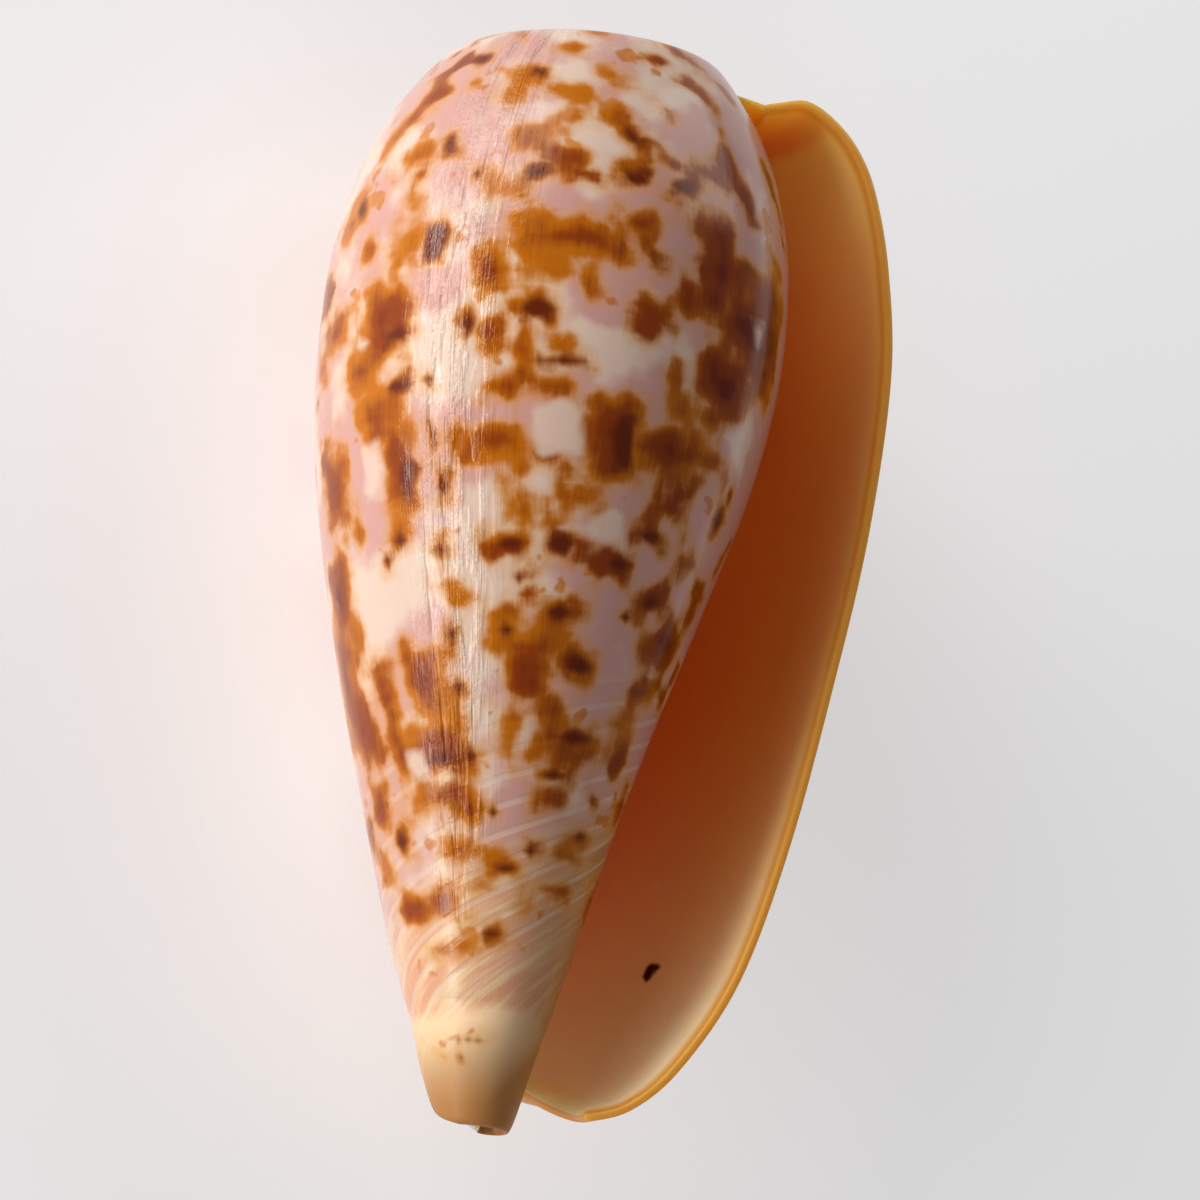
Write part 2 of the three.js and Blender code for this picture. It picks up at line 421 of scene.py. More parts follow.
class Tint(Enum):
    """Which colour layer a marking belongs to."""

    BROWN = "brown"
    DARK = "dark"
    WHITE = "white"


@dataclass(frozen=True)
class Mark:
    """One listed marking.

    x and y are its middle in the picture, in pixels of the 1200 frame. wide and
    high are its real size in millimetres, and lean turns it, in degrees.
    """

    x: float
    y: float
    wide: float
    high: float
    lean: float = 0.0
    shape: Shape = Shape.PATCH
    tint: Tint = Tint.BROWN
    inside: bool = False


@dataclass
class MarkLayer:
    """Distance fields of the markings over the shell's points, in millimetres, positive inside."""

    points: np.ndarray
    normals: np.ndarray
    along: np.ndarray
    values: dict[Tint, np.ndarray] = field(default_factory=dict)
    warped: np.ndarray = field(default_factory=lambda: np.zeros((0, 3)))
    reach: float = 9.0
    far_outside: float = -4.0
    least_alike: float = 0.3
    corner_share: float = 0.3
    warp_size: float = 0.17
    warp_length: float = 4.3
    warp_start: float = 0.7
    short_wave: float = 2.3
    short_share: float = 0.6

    def __post_init__(self) -> None:
        """Starts each layer far outside every marking, and bends the points that markings are drawn on.

        Formula: each coordinate moves by a sine of the one before it and a shorter
        sine of the one before that, so straight edges of markings come out slightly
        crooked.
        """
        for tint in Tint:
            self.values[tint] = np.full(len(self.points), self.far_outside)
        wave = self.points * FULL_TURN / self.warp_length
        long_sine = np.sin(np.roll(wave, 1, axis=1) + self.warp_start)
        short_sine = np.sin(self.short_wave * np.roll(wave, 2, axis=1))
        self.warped = self.points + self.warp_size * (long_sine + self.short_share * short_sine)

    def add(self, centre: int, wide: float, high: float, lean: float, shape: Shape, tint: Tint) -> None:
        """Adds a marking around one point.

        Formula: in the plane that touches the shell at the centre, a patch is a box
        distance with round corners, a tent is the least of its distances to three
        edges, and a spot is an ellipse.

        Args:
            centre: index of the marking's middle point.
            wide: size along the growth direction.
            high: size down the shell.
            lean: turn in degrees, anticlockwise as seen.
            shape: outline of the marking.
            tint: layer to add it to.
        """
        offset = self.warped - self.warped[centre]
        alike = self.normals @ self.normals[centre] > self.least_alike
        near = np.nonzero((np.abs(offset).max(axis=1) < self.reach) & alike)[0]
        across = self.along[centre]
        down = np.cross(across, self.normals[centre])
        spin = np.radians(lean)
        first = np.cos(spin) * across - np.sin(spin) * down
        second = np.sin(spin) * across + np.cos(spin) * down
        x = offset[near] @ first
        y = offset[near] @ second
        half_w, half_h = wide / 2.0, high / 2.0
        if shape is Shape.PATCH:
            round_off = self.corner_share * min(half_w, half_h)
            gap_x = np.abs(x) - half_w + round_off
            gap_y = np.abs(y) - half_h + round_off
            outside = np.hypot(np.maximum(gap_x, 0.0), np.maximum(gap_y, 0.0))
            distance = round_off - outside - np.minimum(np.maximum(gap_x, gap_y), 0.0)
        elif shape is Shape.TENT:
            length = np.hypot(half_h, 2.0 * half_w)
            slant = (half_h * (half_w - x) / 2.0 - half_w * np.abs(y)) * 2.0 / length
            distance = np.minimum(slant, x + half_w)
        else:
            distance = (1.0 - np.hypot(x / half_w, y / half_h)) * min(half_w, half_h)
        layer = self.values[tint]
        layer[near] = np.maximum(layer[near], distance)


@dataclass(frozen=True)
class SeededMarks:
    """Markings drawn by chance for the sides that the picture doesn't show.

    bands holds the middle height and the width of each band where they are larger.
    """

    seed: int = 11
    count: int = 420
    bands: tuple[tuple[float, float], ...] = ((12.0, 4.0), (26.0, 4.5), (40.0, 5.0))
    full_radius: float = 16.0
    least_share: float = 0.35
    plain_size: float = 0.6
    band_size: float = 0.55
    size_powers: tuple[float, float] = (0.85, 0.65)
    size_spread: float = 0.4
    lean_spread: float = 28.0
    shapes: tuple[Shape, ...] = (Shape.PATCH, Shape.PATCH, Shape.TENT, Shape.SPOT)
    brown_below: float = 0.78
    cored_below: float = 0.3
    dark_below: float = 0.88
    brown_end: float = 52.0
    other_end: float = 50.0
    core_wide: float = 0.5
    core_high: float = 0.45
    dash_wide: float = 0.9
    dash_high: float = 1.3
    dash_lean: float = 0.3

    def scatter(self, layer: MarkLayer, unseen: np.ndarray, turn: np.ndarray, spiral: GrowthSpiral) -> None:
        """Adds the markings.

        Formula: the places are drawn evenly from the unseen points. A mark's size is
        a plain part plus a bell curve at each band, times its distance from the axis
        as a share of the full radius, and e to a random power. Below the end heights
        a place stays bare.

        Args:
            layer: distance fields to add to.
            unseen: numbers of the points that may carry a mark.
            turn: turn of each point.
            spiral: surface that gives the heights.
        """
        chance = np.random.default_rng(self.seed)
        for centre in chance.choice(unseen, self.count, replace=False):
            point = layer.points[centre]
            height = spiral.height(point, turn[centre])
            band = sum(bell(height, middle, width) for middle, width in self.bands)
            share = np.clip(np.hypot(point[0], point[1]) / self.full_radius, self.least_share, 1.0)
            size = share * (self.plain_size + self.band_size * band)
            wide, high = size * np.exp(chance.normal(self.size_powers, self.size_spread))
            lean = chance.normal(0.0, self.lean_spread)
            shape = self.shapes[chance.integers(len(self.shapes))]
            kind = chance.random()
            if kind < self.brown_below and height < self.brown_end:
                layer.add(centre, wide, high, lean, shape, Tint.BROWN)
                if kind < self.cored_below:
                    core_wide, core_high = self.core_wide * wide, self.core_high * high
                    layer.add(centre, core_wide, core_high, lean, Shape.PATCH, Tint.DARK)
            elif kind < self.dark_below and height < self.other_end:
                dash_wide, dash_high = self.dash_wide * size, self.dash_high * size
                layer.add(centre, dash_wide, dash_high, self.dash_lean * lean, Shape.PATCH, Tint.DARK)
            elif height < self.other_end:
                layer.add(centre, wide, high, 180.0 + lean, Shape.TENT, Tint.WHITE)


@dataclass
class NodeKit:
    """Short calls that add nodes to one material."""

    tree: bpy.types.NodeTree

    def node(self, kind: str, **settings: object) -> bpy.types.Node:
        """Adds a node.

        Args:
            kind: the node's type name.
            settings: properties to set on it.

        Returns:
            The node.
        """
        made = self.tree.nodes.new(kind)
        for name, value in settings.items():
            setattr(made, name, value)
        return made

    def feed(self, socket: Socket, value: object) -> None:
        """Links a socket to another, or sets its value.

        Args:
            socket: input to feed.
            value: another socket, a number, or a colour of three parts.
        """
        if isinstance(value, Socket):
            self.tree.links.new(value, socket)
        elif isinstance(value, tuple) and len(value) == 3 and len(socket.default_value) == 4:
            socket.default_value = (*value, 1.0)
        else:
            socket.default_value = value

    def value(self, name: str) -> Socket:
        """Reads a number stored at each point of the mesh."""
        return self.node("ShaderNodeAttribute", attribute_name=name).outputs["Fac"]

    def place(self) -> Socket:
        """Object coordinates, in metres."""
        return self.node("ShaderNodeTexCoord").outputs["Object"]

    def growth(self) -> Socket:
        """Growth coordinates from the piece's own map: turn, then height."""
        return self.node("ShaderNodeUVMap", uv_map="growth").outputs["UV"]

    def axis(self, vector: Socket, name: str) -> Socket:
        """One part of a coordinate.

        Args:
            vector: the coordinate.
            name: X, Y or Z.

        Returns:
            The part, as a number.
        """
        made = self.node("ShaderNodeSeparateXYZ")
        self.feed(made.inputs["Vector"], vector)
        return made.outputs[name]

    def scaled(self, vector: Socket, size: Place) -> Socket:
        """A coordinate multiplied on each axis.

        Args:
            vector: the coordinate.
            size: factor for each axis.

        Returns:
            The scaled coordinate.
        """
        made = self.node("ShaderNodeMapping")
        self.feed(made.inputs["Vector"], vector)
        made.inputs["Scale"].default_value = size
        return made.outputs["Vector"]

    def noise(self, vector: Socket, scale: float, detail: float) -> Socket:
        """Cloudy noise around one half.

        Args:
            vector: coordinate to read it at.
            scale: how many clouds there are to one unit.
            detail: how many finer layers it has.

        Returns:
            The noise, from 0 to 1.
        """
        made = self.node("ShaderNodeTexNoise")
        self.feed(made.inputs["Vector"], vector)
        made.inputs["Scale"].default_value = scale
        made.inputs["Detail"].default_value = detail
        return made.outputs["Fac"]

    def swing(self, vector: Socket, scale: float, detail: float, amount: float) -> Socket:
        """Noise around zero: (noise - one half) times the amount."""
        return self.times(self.sum(self.noise(vector, scale, detail), -0.5), amount)

    def diamonds(self, vector: Socket) -> Socket:
        """Distance to the nearest of scattered points, counted along the three axes.

        Args:
            vector: coordinate to read it at.

        Returns:
            The distance.
        """
        made = self.node("ShaderNodeTexVoronoi", distance="MANHATTAN")
        self.feed(made.inputs["Vector"], vector)
        made.inputs["Scale"].default_value = 1.0
        return made.outputs["Distance"]

    def sum(self, first: object, second: object, operation: str = "ADD") -> Socket:
        """Two numbers joined by an operation.

        Args:
            first: a socket or a number.
            second: a socket or a number.
            operation: how to join them. It adds unless another is named.

        Returns:
            The result.
        """
        made = self.node("ShaderNodeMath", operation=operation)
        self.feed(made.inputs[0], first)
        self.feed(made.inputs[1], second)
        return made.outputs[0]

    def times(self, first: object, second: object) -> Socket:
        """Two numbers multiplied."""
        return self.sum(first, second, "MULTIPLY")

    def between(self, value: object, low: float, high: float) -> Socket:
        """Smooth 0 to 1 as a value goes from low to high.

        Args:
            value: a socket or a number.
            low: value that gives 0.
            high: value that gives 1.

        Returns:
            The share.
        """
        made = self.node("ShaderNodeMapRange", interpolation_type="SMOOTHSTEP")
        self.feed(made.inputs["Value"], value)
        made.inputs["From Min"].default_value = low
        made.inputs["From Max"].default_value = high
        return made.outputs["Result"]

    def ramp(self, value: object, stops: tuple[tuple[float, Colour], ...]) -> Socket:
        """Colours along a value from 0 to 1.

        Args:
            value: a socket or a number.
            stops: places along the value, each with its colour.

        Returns:
            The colour.
        """
        made = self.node("ShaderNodeValToRGB")
        self.feed(made.inputs["Fac"], value)
        bar = made.color_ramp.elements
        while len(bar) < len(stops):
            bar.new(0.5)
        for element, (place, colour) in zip(bar, stops):
            element.position = place
            element.color = (*colour, 1.0)
        return made.outputs["Color"]

    def mix(self, share: object, first: object, second: object) -> Socket:
        """Two colours mixed.

        Args:
            share: 0 for the first colour, 1 for the second.
            first: a socket or a colour.
            second: a socket or a colour.

        Returns:
            The colour.
        """
        made = self.node("ShaderNodeMix", data_type="RGBA")
        self.feed(made.inputs["Factor"], share)
        self.feed(made.inputs[6], first)
        self.feed(made.inputs[7], second)
        return made.outputs[2]

    def bump(self, height: object, distance: float, strength: float, under: object = None) -> Socket:
        """Surface relief from a height.

        Args:
            height: a socket that gives the height.
            distance: metres for one unit of height.
            strength: share of the relief that shows.
            under: relief that this one is added to.

        Returns:
            The direction of the surface.
        """
        made = self.node("ShaderNodeBump")
        self.feed(made.inputs["Height"], height)
        made.inputs["Distance"].default_value = distance
        made.inputs["Strength"].default_value = strength
        if under is not None:
            self.feed(made.inputs["Normal"], under)
        return made.outputs["Normal"]


def new_material(name: str) -> tuple[bpy.types.Material, NodeKit, bpy.types.Node]:
    """A node material, ready to be dressed.

    Args:
        name: the material's name.

    Returns:
        The material, a kit for its nodes and its shader.
    """
    material = bpy.data.materials.new(name)
    material.use_nodes = True
    shader = material.node_tree.nodes["Principled BSDF"]
    return material, NodeKit(material.node_tree), shader


@dataclass(frozen=True)
class PatternedGlaze:
    """The glossy outside: white and pink ground, orange-brown blotches, tents and dashes.

    Names ending in scale count clouds to a metre, those ending in lines scale the
    growth map, and those ending in relief hold a depth in metres and a strength.
    """

    white: Colour = (0.73, 0.555, 0.455)
    pink: Colour = (0.61, 0.345, 0.30)
    haze: Colour = (0.66, 0.31, 0.07)
    amber: Colour = (0.52, 0.165, 0.002)
    brown: Colour = (0.28, 0.052, 0.001)
    deep: Colour = (0.17, 0.018, 0.0)
    dark: Colour = (0.14, 0.018, 0.001)
    peach: Colour = (0.70, 0.37, 0.23)
    cream: Colour = (0.78, 0.56, 0.34)
    tan: Colour = (0.43, 0.20, 0.06)
    crack: Colour = (0.40, 0.20, 0.08)
    cloud_scale: float = 170.0
    crack_scale: float = 420.0
    bend_scale: float = 120.0
    broad_scale: float = 300.0
    ragged_scale: float = 850.0
    angle_scale: float = 520.0
    shade_scale: float = 230.0
    freckle_scale: float = 560.0
    grain_scale: float = 3200.0
    base_lines: Place = (7.0, 90.0, 1.0)
    streak_lines: Place = (380.0, 22.0, 1.0)
    broken_lines: Place = (70.0, 12.0, 1.0)
    growth_lines: Place = (760.0, 14.0, 1.0)
    groove_pitch: float = 1.45
    groove_bend: float = 3.0
    groove_paleness: float = 0.5
    rosy_clouds: float = -0.11
    crack_share: float = 0.7
    spread: float = 0.2
    halo: float = 0.3
    tip_clearing: float = -0.35
    broad_amount: float = 1.2
    ragged_amount: float = 0.9
    angle_amount: float = 0.75
    streak_amount: float = 0.9
    streaked_edge: float = 0.2
    shade_amount: float = 3.2
    # Painted shade: how much deeper the stains are drawn on the right side, away from the lights.
    painted_side_shade: float = 0.4
    streaked_shade: float = 0.7
    freckle_share: float = 0.8
    haze_share: float = 0.55
    white_wobble: float = 0.5
    white_share: float = 0.85
    dark_wobble: float = 0.3
    dark_share: float = 0.95
    roughness: float = 0.115
    streak_roughness: float = 0.14
    base_roughness: float = 0.1
    tip_roughness: float = 0.2
    gloss: float = 0.42
    line_share: float = 0.7
    least_relief: float = 0.25
    fine_relief: tuple[float, float] = (0.00015, 0.65)
    groove_relief: tuple[float, float] = (0.00005, 0.3)
    tip_relief: tuple[float, float] = (0.0004, 0.6)

    def ground(self, kit: NodeKit) -> Socket:
        """White and pink clouds, pinker towards the right side, peach streaks towards the base and a cream
        tip. The base and the tip go tan towards the tip's end and towards the right side; on the right side
        the tan is painted shade.

        Args:
            kit: the material's nodes.

        Returns:
            The colour under the markings.
        """
        place = kit.place()
        # The ground turns pinker towards the right side.
        shaded_side = kit.times(kit.value("shaded_side"), self.rosy_clouds)
        clouds = kit.sum(kit.noise(place, self.cloud_scale, 4.0), shaded_side)
        ground = kit.mix(kit.between(clouds, low=0.44, high=0.58), self.pink, self.white)
        lines = kit.noise(kit.scaled(kit.growth(), self.base_lines), 1.0, 3.0)
        streaked = kit.mix(kit.between(lines, low=0.42, high=0.64), self.peach, self.cream)
        ground = kit.mix(kit.value("base"), ground, streaked)
        # Tan on the base towards the tip's end, and towards the right side as painted shade.
        ground = kit.mix(kit.times(kit.value("base"), kit.value("tan_and_side_shade")), ground, self.tan)
        gap = kit.sum(kit.sum(kit.noise(place, self.crack_scale, 3.0), -0.5), 0.0, "ABSOLUTE")
        # The cream tip goes tan towards its end, and towards the right side as painted shade.
        cream = kit.mix(kit.value("tan_and_side_shade"), self.cream, self.tan)
        cracks = kit.times(kit.between(gap, low=0.006, high=0.0), kit.between(clouds, low=0.5, high=0.6))
        bulb = kit.mix(kit.times(cracks, self.crack_share), cream, self.crack)
        return kit.mix(kit.value("tip"), ground, bulb)

    def grooves(self, kit: NodeKit) -> Socket:
        """Fine spiral grooves round the lower third.

        Formula: the sine of the height over the pitch, bent by noise, where it is
        near its top.

        Args:
            kit: the material's nodes.

        Returns:
            1 in a groove, 0 between.
        """
        height = kit.times(kit.axis(kit.growth(), "Y"), MAP_HEIGHT * FULL_TURN / self.groove_pitch)
        bend = kit.times(kit.noise(kit.place(), self.bend_scale, 2.0), self.groove_bend)
        wave = kit.sum(kit.sum(height, bend), 0.0, "SINE")
        return kit.times(kit.between(wave, low=0.55, high=1.0), kit.value("grooved"))

    def wobble(self, kit: NodeKit) -> Socket:
        """Unevenness of the markings' edges: broad waves, ragged ones and angular steps.

        Args:
            kit: the material's nodes.

        Returns:
            How far each edge moves out, in millimetres.
        """
        place = kit.place()
        broad = kit.swing(place, self.broad_scale, 2.0, self.broad_amount)
        ragged = kit.swing(place, self.ragged_scale, 4.0, self.ragged_amount)
        cells = kit.diamonds(kit.scaled(place, (self.angle_scale, self.angle_scale, self.angle_scale)))
        angular = kit.sum(0.5, cells, "SUBTRACT")
        return kit.sum(kit.sum(broad, ragged), kit.times(angular, self.angle_amount))

    def marked(self, kit: NodeKit, ground: Socket, wobble: Socket, streaks: Socket) -> Socket:
        """Lays freckles, stains, white marks and dark marks over the ground. The stains are drawn deeper on
        the right side, away from the lights, as painted shade.

        Args:
            kit: the material's nodes.
            ground: the colour under the markings.
            wobble: unevenness of the markings' edges.
            streaks: fine streaks along the growth lines, around zero.

        Returns:
            The colour of the outside.
        """
        place = kit.place()
        stained = kit.sum(kit.value("brown"), self.spread)
        stained = kit.sum(stained, kit.sum(kit.value("dark"), self.halo), "MAXIMUM")
        stained = kit.sum(stained, kit.times(kit.value("tip"), self.tip_clearing))
        brown = kit.sum(stained, kit.sum(wobble, kit.times(streaks, self.streaked_edge)))
        freckles = kit.between(kit.noise(place, self.freckle_scale, 2.0), low=0.64, high=0.70)
        freckles = kit.times(freckles, kit.between(brown, low=-1.8, high=-0.7))
        ground = kit.mix(kit.times(freckles, self.freckle_share), ground, self.amber)
        haze = kit.times(kit.between(brown, low=-0.9, high=0.0), self.haze_share)
        ground = kit.mix(haze, ground, self.haze)
        shade = kit.swing(place, self.shade_scale, 2.0, self.shade_amount)
        # Painted shade: the stains are drawn deeper on the right side, away from the lights, and lighter on
        # the lit left side.
        shade = kit.sum(shade, kit.times(kit.value("shaded_side"), self.painted_side_shade))
        inner = kit.sum(kit.sum(brown, shade), kit.times(streaks, self.streaked_shade))
        stain = kit.mix(kit.between(inner, low=-0.1, high=1.3), self.amber, self.brown)
        stain = kit.mix(kit.between(inner, low=1.3, high=2.4), stain, self.deep)
        colour = kit.mix(kit.between(brown, low=-0.38, high=0.32), ground, stain)
        white = kit.sum(kit.value("white"), kit.times(wobble, self.white_wobble))
        white = kit.times(kit.between(white, low=-0.3, high=0.4), self.white_share)
        colour = kit.mix(white, colour, self.white)
        dark = kit.sum(kit.value("dark"), kit.times(wobble, self.dark_wobble))
        dark = kit.times(kit.between(dark, low=-0.35, high=0.35), self.dark_share)
        return kit.mix(dark, colour, self.dark)

    def rough(self, kit: NodeKit, streaks: Socket) -> Socket:
        """Roughness: glossy, a little duller in the streaks, towards the base and on the tip.

        Args:
            kit: the material's nodes.
            streaks: fine streaks along the growth lines, around zero.

        Returns:
            The roughness.
        """
        dulled = kit.times(kit.between(streaks, low=-0.2, high=0.2), self.streak_roughness)
        rough = kit.sum(self.roughness, dulled)
        rough = kit.sum(rough, kit.times(kit.value("base"), self.base_roughness))
        return kit.sum(rough, kit.times(kit.value("tip"), self.tip_roughness))

    def relief(self, kit: NodeKit, grooves: Socket) -> Socket:
        """Fine growth lines and grains where the shell is worn, grooves, and the step at the tip.

        Args:
            kit: the material's nodes.
            grooves: 1 in a spiral groove, 0 between.

        Returns:
            The direction of the surface.
        """
        growth = kit.growth()
        above_base = kit.sum(1.0, kit.value("base"), "SUBTRACT")
        broken = kit.between(kit.noise(kit.scaled(growth, self.broken_lines), 1.0, 2.0), low=0.4, high=0.6)
        lines = kit.noise(kit.scaled(growth, self.growth_lines), 1.0, 2.0)
        grains = kit.noise(kit.place(), self.grain_scale, 2.0)
        shown = kit.times(above_base, kit.sum(broken, self.least_relief))
        fine = kit.times(kit.sum(kit.times(lines, self.line_share), grains), shown)
        relief = kit.bump(kit.times(fine, kit.value("worn")), *self.fine_relief)
        relief = kit.bump(kit.times(grooves, -1.0), *self.groove_relief, relief)
        return kit.bump(kit.value("tip"), *self.tip_relief, relief)

    def make(self) -> bpy.types.Material:
        """Builds the material from the stored mark distances and growth coordinates.

        Returns:
            The finish of the outside.
        """
        material, kit, shader = new_material("patterned_glaze")
        ground = self.ground(kit)
        grooves = self.grooves(kit)
        ground = kit.mix(kit.times(grooves, self.groove_paleness), ground, self.white)
        wobble = self.wobble(kit)
        streaks = kit.swing(kit.scaled(kit.growth(), self.streak_lines), 1.0, 3.0, self.streak_amount)
        kit.feed(shader.inputs["Base Color"], self.marked(kit, ground, wobble, streaks))
        kit.feed(shader.inputs["Roughness"], self.rough(kit, streaks))
        shader.inputs["Specular IOR Level"].default_value = self.gloss
        kit.feed(shader.inputs["Normal"], self.relief(kit, grooves))
        return material


@dataclass(frozen=True)
class SatinOrange:
    """The smooth orange inside of the aperture, deeper in colour further in, with painted light near its
    upper end: a brighter glow colour for light shining through the thin lip.
    """

    name: str = "satin_orange"
    softness: float = 0.85
    soft_reach: Place = (0.0036, 0.0024, 0.0012)
    deep: Colour = (0.75, 0.29, 0.018)
    middle: Colour = (0.83, 0.45, 0.12)
    pale: Colour = (0.80, 0.46, 0.20)
    rim: Colour = (0.66, 0.30, 0.06)
    # Painted light: a brighter colour that stands in for light shining through the thin lip.
    glow: Colour = (0.99, 0.58, 0.25)
    tan: Colour = (0.90, 0.65, 0.47)
    dark: Colour = (0.05, 0.02, 0.015)
    mend: Colour = (0.80, 0.60, 0.36)
    middle_inward: float = 0.2
    deep_inward: float = 0.55
    cloud_scale: float = 90.0
    cloud_amount: float = 0.16
    roughness: float = 0.4
    growth_lines: Place = (160.0, 5.0, 1.0)
    line_relief: tuple[float, float] = (0.0001, 0.12)

    def make(self) -> bpy.types.Material:
        """Builds the material from the stored depth into the aperture.

        Returns:
            The finish.
        """
        material, kit, shader = new_material(self.name)
        cloud = kit.swing(kit.place(), self.cloud_scale, 3.0, self.cloud_amount)
        inward = kit.sum(kit.value("inward"), cloud)
        stops = (
            (0.0, self.pale),
            (self.middle_inward, self.middle),
            (self.deep_inward, self.deep),
            (1.0, self.deep),
        )
        colour = kit.ramp(inward, stops)
        colour = kit.mix(kit.value("base"), colour, self.tan)
        # Painted light: the glow colour is laid on towards the upper end of the aperture, for light through
        # the thin lip.
        colour = kit.mix(kit.value("glow"), colour, self.glow)
        colour = kit.mix(kit.between(kit.value("lip"), low=1.0, high=0.2), colour, self.rim)
        colour = kit.mix(kit.between(kit.value("white"), low=-0.2, high=0.2), colour, self.mend)
        colour = kit.mix(kit.between(kit.value("dark"), low=-0.2, high=0.15), colour, self.dark)
        kit.feed(shader.inputs["Base Color"], colour)
        shader.inputs["Roughness"].default_value = self.roughness
        shader.inputs["Subsurface Weight"].default_value = self.softness
        shader.inputs["Subsurface Scale"].default_value = 1.0
        shader.inputs["Subsurface Radius"].default_value = self.soft_reach
        lines = kit.noise(kit.scaled(kit.growth(), self.growth_lines), 1.0, 2.0)
        kit.feed(shader.inputs["Normal"], kit.bump(lines, *self.line_relief))
        return material


@dataclass(frozen=True)
class PaleSurface:
    """The plain pale matt surface that the shell lies on, with a slight light of its own."""

    colour: Colour = (0.72, 0.72, 0.73)
    glow_colour: Colour = (1.0, 1.0, 1.0)
    roughness: float = 0.9
    glow: float = 0.32

    def make(self) -> bpy.types.Material:
        """Builds the material.

        Returns:
            The finish of the floor.
        """
        material, kit, shader = new_material("pale_surface")
        kit.feed(shader.inputs["Base Color"], self.colour)
        kit.feed(shader.inputs["Emission Color"], self.glow_colour)
        shader.inputs["Roughness"].default_value = self.roughness
        shader.inputs["Specular IOR Level"].default_value = 0.0
        shader.inputs["Emission Strength"].default_value = self.glow
        return material


@dataclass(frozen=True)
class FinishZones:
    """Where each finish begins on the shell.

    Heights and depths are in millimetres, turns in radians back from the lip. A zone
    named for the corner lies at the upper end of the aperture; there the inside is drawn deeper in colour as
    painted shade and loses part of its painted glow.
    """

    overlap_turn: float = 0.6
    inward_turn: float = 2.4
    # Painted shade: how much deeper in colour the inside is drawn at the upper corner of the aperture.
    corner_shade: float = 0.4
    corner_glow_loss: float = 0.5
    least_worn: float = 0.04
    worn_turn: float = 4.17
    worn_half_turn: float = 0.2
    past_corner: Rise = Rise(start=3.0, length=0.6)
    # Side share: 0 on the left and 1 on the right, the side away from the lights. It deepens the stains
    # there as painted shade and makes the ground pinker.
    shaded_side: Rise = Rise(start=4.3, length=1.2)
    grooves_start: Rise = Rise(start=37.0, length=6.0)
    grooves_end: Rise = Rise(start=52.0, length=3.0)
    fold: Rise = Rise(start=FULL_TURN, length=0.3, height=0.85)
    base: Rise = Rise(start=45.0, length=6.0)
    inner_base: Rise = Rise(start=8.8, length=3.2, height=0.95)
    tip: Rise = Rise(start=56.0, length=0.9)
    tanned_depth: Rise = Rise(start=57.0, length=5.0)
    # Painted shade: tan added towards the right side, away from the lights.
    side_shade_tan: Rise = Rise(start=4.5, length=1.3, height=0.8)
    # Painted light: the painted glow inside the lip fades out past this station.
    past_glow: Rise = Rise(start=4.0, length=3.5)

    def fields(
        self,
        spiral: GrowthSpiral,
        points: np.ndarray,
        station: np.ndarray,
        turn: np.ndarray,
        is_outer: np.ndarray,
    ) -> dict[str, np.ndarray]:
        """Works out what the finishes read at each point.

        Args:
            spiral: surface that the points lie on.
            points: the mesh's points in the shell's frame.
            station: station of each point.
            turn: turn of each point.
            is_outer: whether each point lies on the outer surface.

        Returns:
            One array for each name that a finish reads.
        """
        height = spiral.height(points, turn)
        depth = -points[:, 2]
        overlap = np.clip((FULL_TURN + self.overlap_turn - turn) / self.overlap_turn, 0.0, 1.0)
        corner = 1.0 - self.past_corner.at(station)
        # Painted shade: at the upper corner of the aperture the inside is pushed deeper in colour.
        inward = np.clip(turn / self.inward_turn + self.corner_shade * corner, 0.0, 1.0)
        worn = bell(turn, self.worn_turn, self.worn_half_turn)
        outer_base = self.base.at(height) * (1.0 - self.fold.at(turn))
        # Painted light: inside points near the upper end of the aperture get a brighter glow colour, for
        # light through the thin lip.
        glow = (1.0 - self.past_glow.at(station)) * ~is_outer
        return {
            "inward": np.where(is_outer, overlap, inward),
            "lip": np.hypot(points[:, 0], points[:, 1]) * turn,
            "worn": self.least_worn + (1.0 - self.least_worn) * worn,
            "shaded_side": self.shaded_side.at(turn),
            "grooved": self.grooves_start.at(height) * (1.0 - self.grooves_end.at(height)),
            "base": np.where(is_outer, outer_base, self.inner_base.at(station)),
            "tip": self.tip.at(spiral.wavy_depth(depth, turn)) * is_outer,
            # Tan towards the tip's end, and towards the right side as painted shade.
            "tan_and_side_shade": np.clip(self.tanned_depth.at(depth) + self.side_shade_tan.at(turn), 0.0, 1.0),
            "glow": glow * (1.0 - self.corner_glow_loss * corner),
        }


